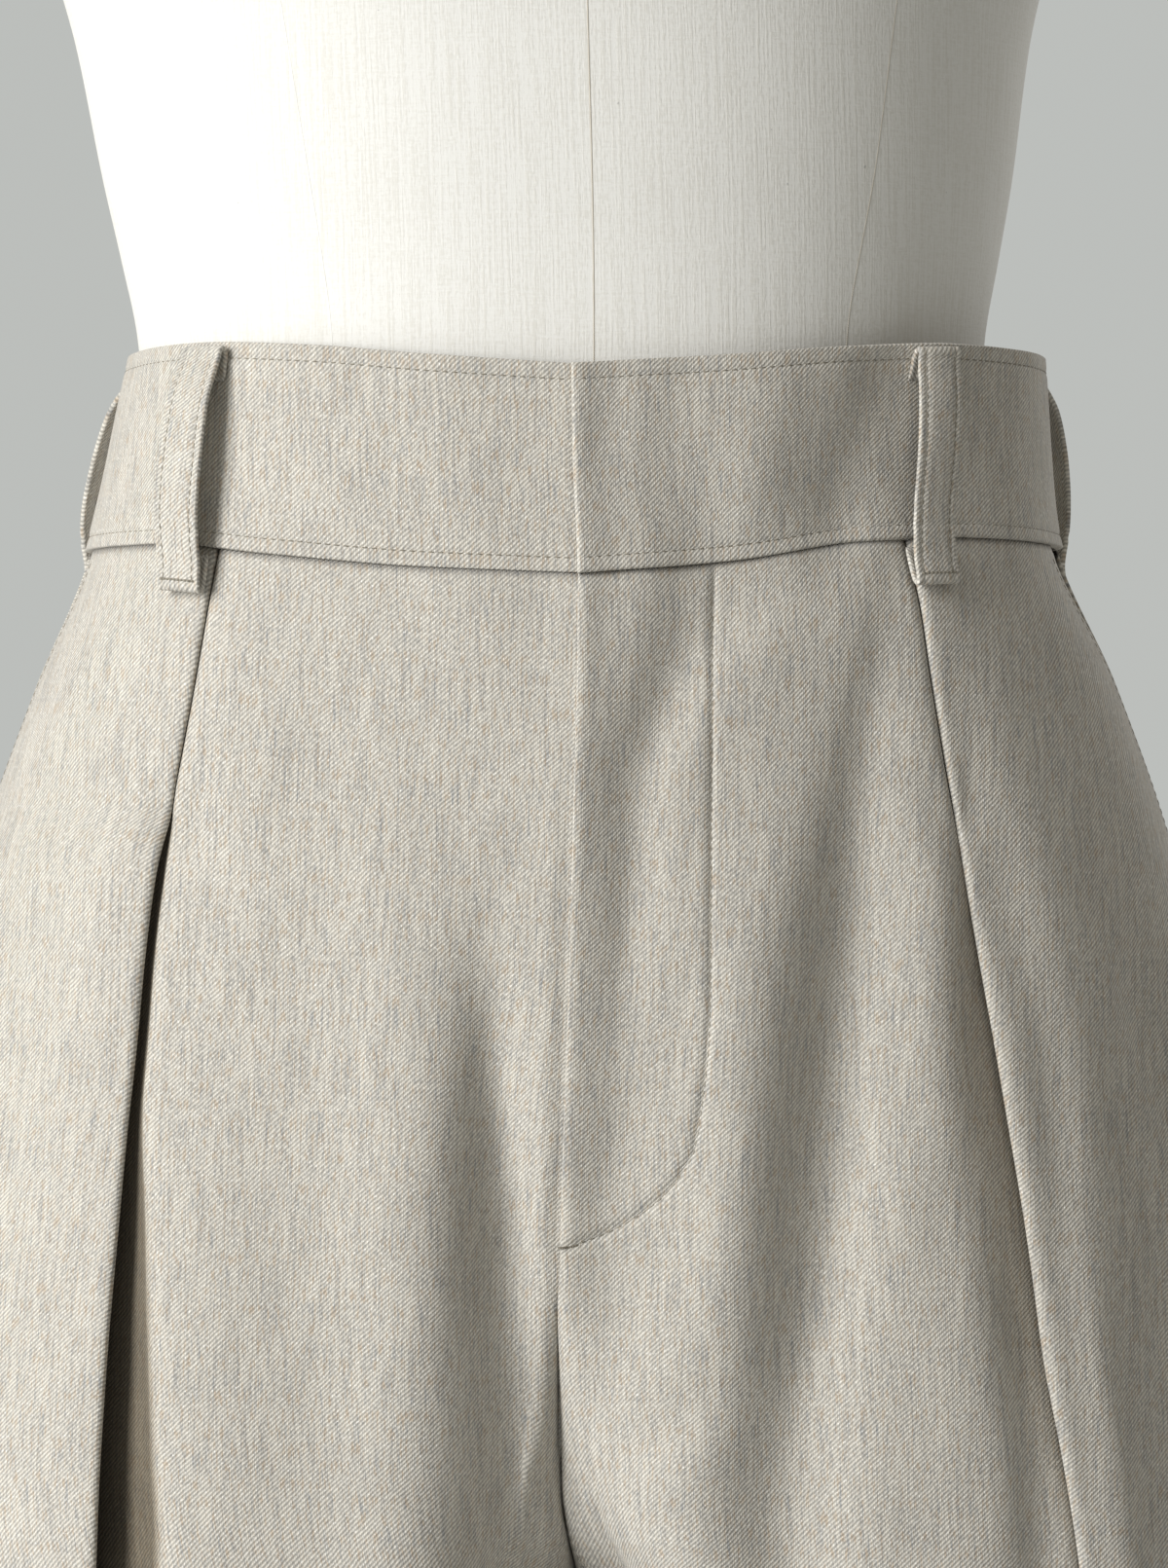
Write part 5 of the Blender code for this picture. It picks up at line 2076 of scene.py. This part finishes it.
# ------------------------------------------------------------------ the room
@dataclass(frozen=True)
class SoftBox:
    """A soft box that faces the garment."""

    name: str
    place: tuple
    size: tuple
    power: float
    colour: tuple = (1.0, 1.0, 1.0)
    faces: tuple = (0.0, 0.0, 0.5)

    def hang(self) -> None:
        """Hang it in the scene."""
        data = bpy.data.lights.new(self.name, "AREA")
        data.shape, data.size, data.size_y = "RECTANGLE", *self.size
        data.energy, data.color = self.power, self.colour
        made = bpy.data.objects.new(self.name, data)
        made.location = self.place
        towards = Vector(self.faces) - Vector(self.place)
        made.rotation_euler = towards.to_track_quat("-Z", "Y").to_euler()
        bpy.context.scene.collection.objects.link(made)


@dataclass
class Studio:
    """Camera, lights, floor and the pale surround."""

    aim: tuple = (0.002, 0.0, 0.4759)
    distance: float = 2.0
    lens: float = 240.0
    sensor: float = 36.0
    look_down: float = 0.5
    boxes: tuple = (
        SoftBox("key", (-2.04, -1.50, 1.15), (1.1, 1.8), 90.0, (1.0, 0.994, 0.988)),
        SoftBox("back_fill", (1.8, 2.2, 1.6), (1.6, 1.6), 26.0),
    )
    surround: tuple = (0.503, 0.518, 0.500)
    soft_light: tuple = (1.0, 0.965, 0.885)
    fill: float = 0.315
    floor_radius: float = 2.2
    floor_sides: int = 64
    floor_below: float = 0.0005
    floor_paint: Plain = Plain("floor_paint", (0.55, 0.56, 0.55))

    def camera(self) -> None:
        """Set the camera at the photograph's angle."""
        data = bpy.data.cameras.new("camera")
        data.sensor_fit, data.sensor_width, data.lens = "HORIZONTAL", self.sensor, self.lens
        made = bpy.data.objects.new("camera", data)
        down = math.radians(self.look_down)
        forward = Vector((0.0, math.cos(down), -math.sin(down)))
        made.location = Vector(self.aim) - forward * self.distance
        made.rotation_euler = forward.to_track_quat("-Z", "Y").to_euler()
        bpy.context.scene.collection.objects.link(made)
        bpy.context.scene.camera = made

    def room(self) -> None:
        """The world's soft light, with a pale grey surround behind the object."""
        world = bpy.data.worlds.new("surround")
        bpy.context.scene.world = world
        graph = Graph(world)
        rays = graph.node("ShaderNodeLightPath")
        soft = graph.node("ShaderNodeBackground", None,
                          {"Color": (*self.soft_light, 1.0), "Strength": self.fill})
        seen = graph.node("ShaderNodeBackground", None, {"Color": (*self.surround, 1.0)})
        mixed = graph.node("ShaderNodeMixShader", None, {
            "Fac": rays.outputs["Is Camera Ray"], "Shader": soft.outputs[0],
            "Shader_001": seen.outputs[0]})
        graph.node("ShaderNodeOutputWorld", None, {"Surface": mixed.outputs[0]})

    def floor(self) -> None:
        """A plain pale floor."""
        numbers = np.arange(self.floor_sides)
        turn = numbers * 2 * math.pi / self.floor_sides
        points = np.zeros((self.floor_sides + 1, 3))
        points[1:, 0], points[1:, 1] = np.cos(turn), np.sin(turn)
        points *= self.floor_radius
        points[:, 2] = -self.floor_below
        faces = np.stack((np.zeros_like(numbers), numbers + 1,
                          (numbers + 1) % self.floor_sides + 1), axis=1)
        made = mesh_object("floor", points, faces)
        made.data.materials.append(self.floor_paint.material())

    def build(self) -> None:
        """Set up the whole room."""
        self.camera()
        bpy.context.scene.view_settings.view_transform = "Standard"
        for box in self.boxes:
            box.hang()
        self.room()
        self.floor()


def main() -> None:
    """Build, dress and report every piece, in order."""
    logging.basicConfig(level=logging.INFO, format="%(name)s: %(message)s")
    suiting = Suiting().material()
    thread = Thread().material()
    tack_thread = Thread("tack_thread", (0.250, 0.225, 0.180), (0.130, 0.115, 0.090)).material()
    seam_thread = Thread("form_seam_thread", (0.660, 0.625, 0.550),
                         (0.420, 0.370, 0.290)).material()
    garment = Garment()
    fronts, loops = Fronts(garment, suiting), BeltLoops(garment, suiting)
    for maker in (DressForm(Linen().material(), seam_thread), Stand(StandPaint().material()),
                  Waistband(garment, suiting), fronts, Backs(garment, suiting),
                  PocketFacings(garment, fronts, suiting), loops,
                  Topstitching(garment, fronts, loops, thread, tack_thread)):
        for piece in maker.build():
            LOG.info("%s: %d faces", piece.name, len(piece.data.polygons))
    Studio().build()


if __name__ == "__main__":
    main()
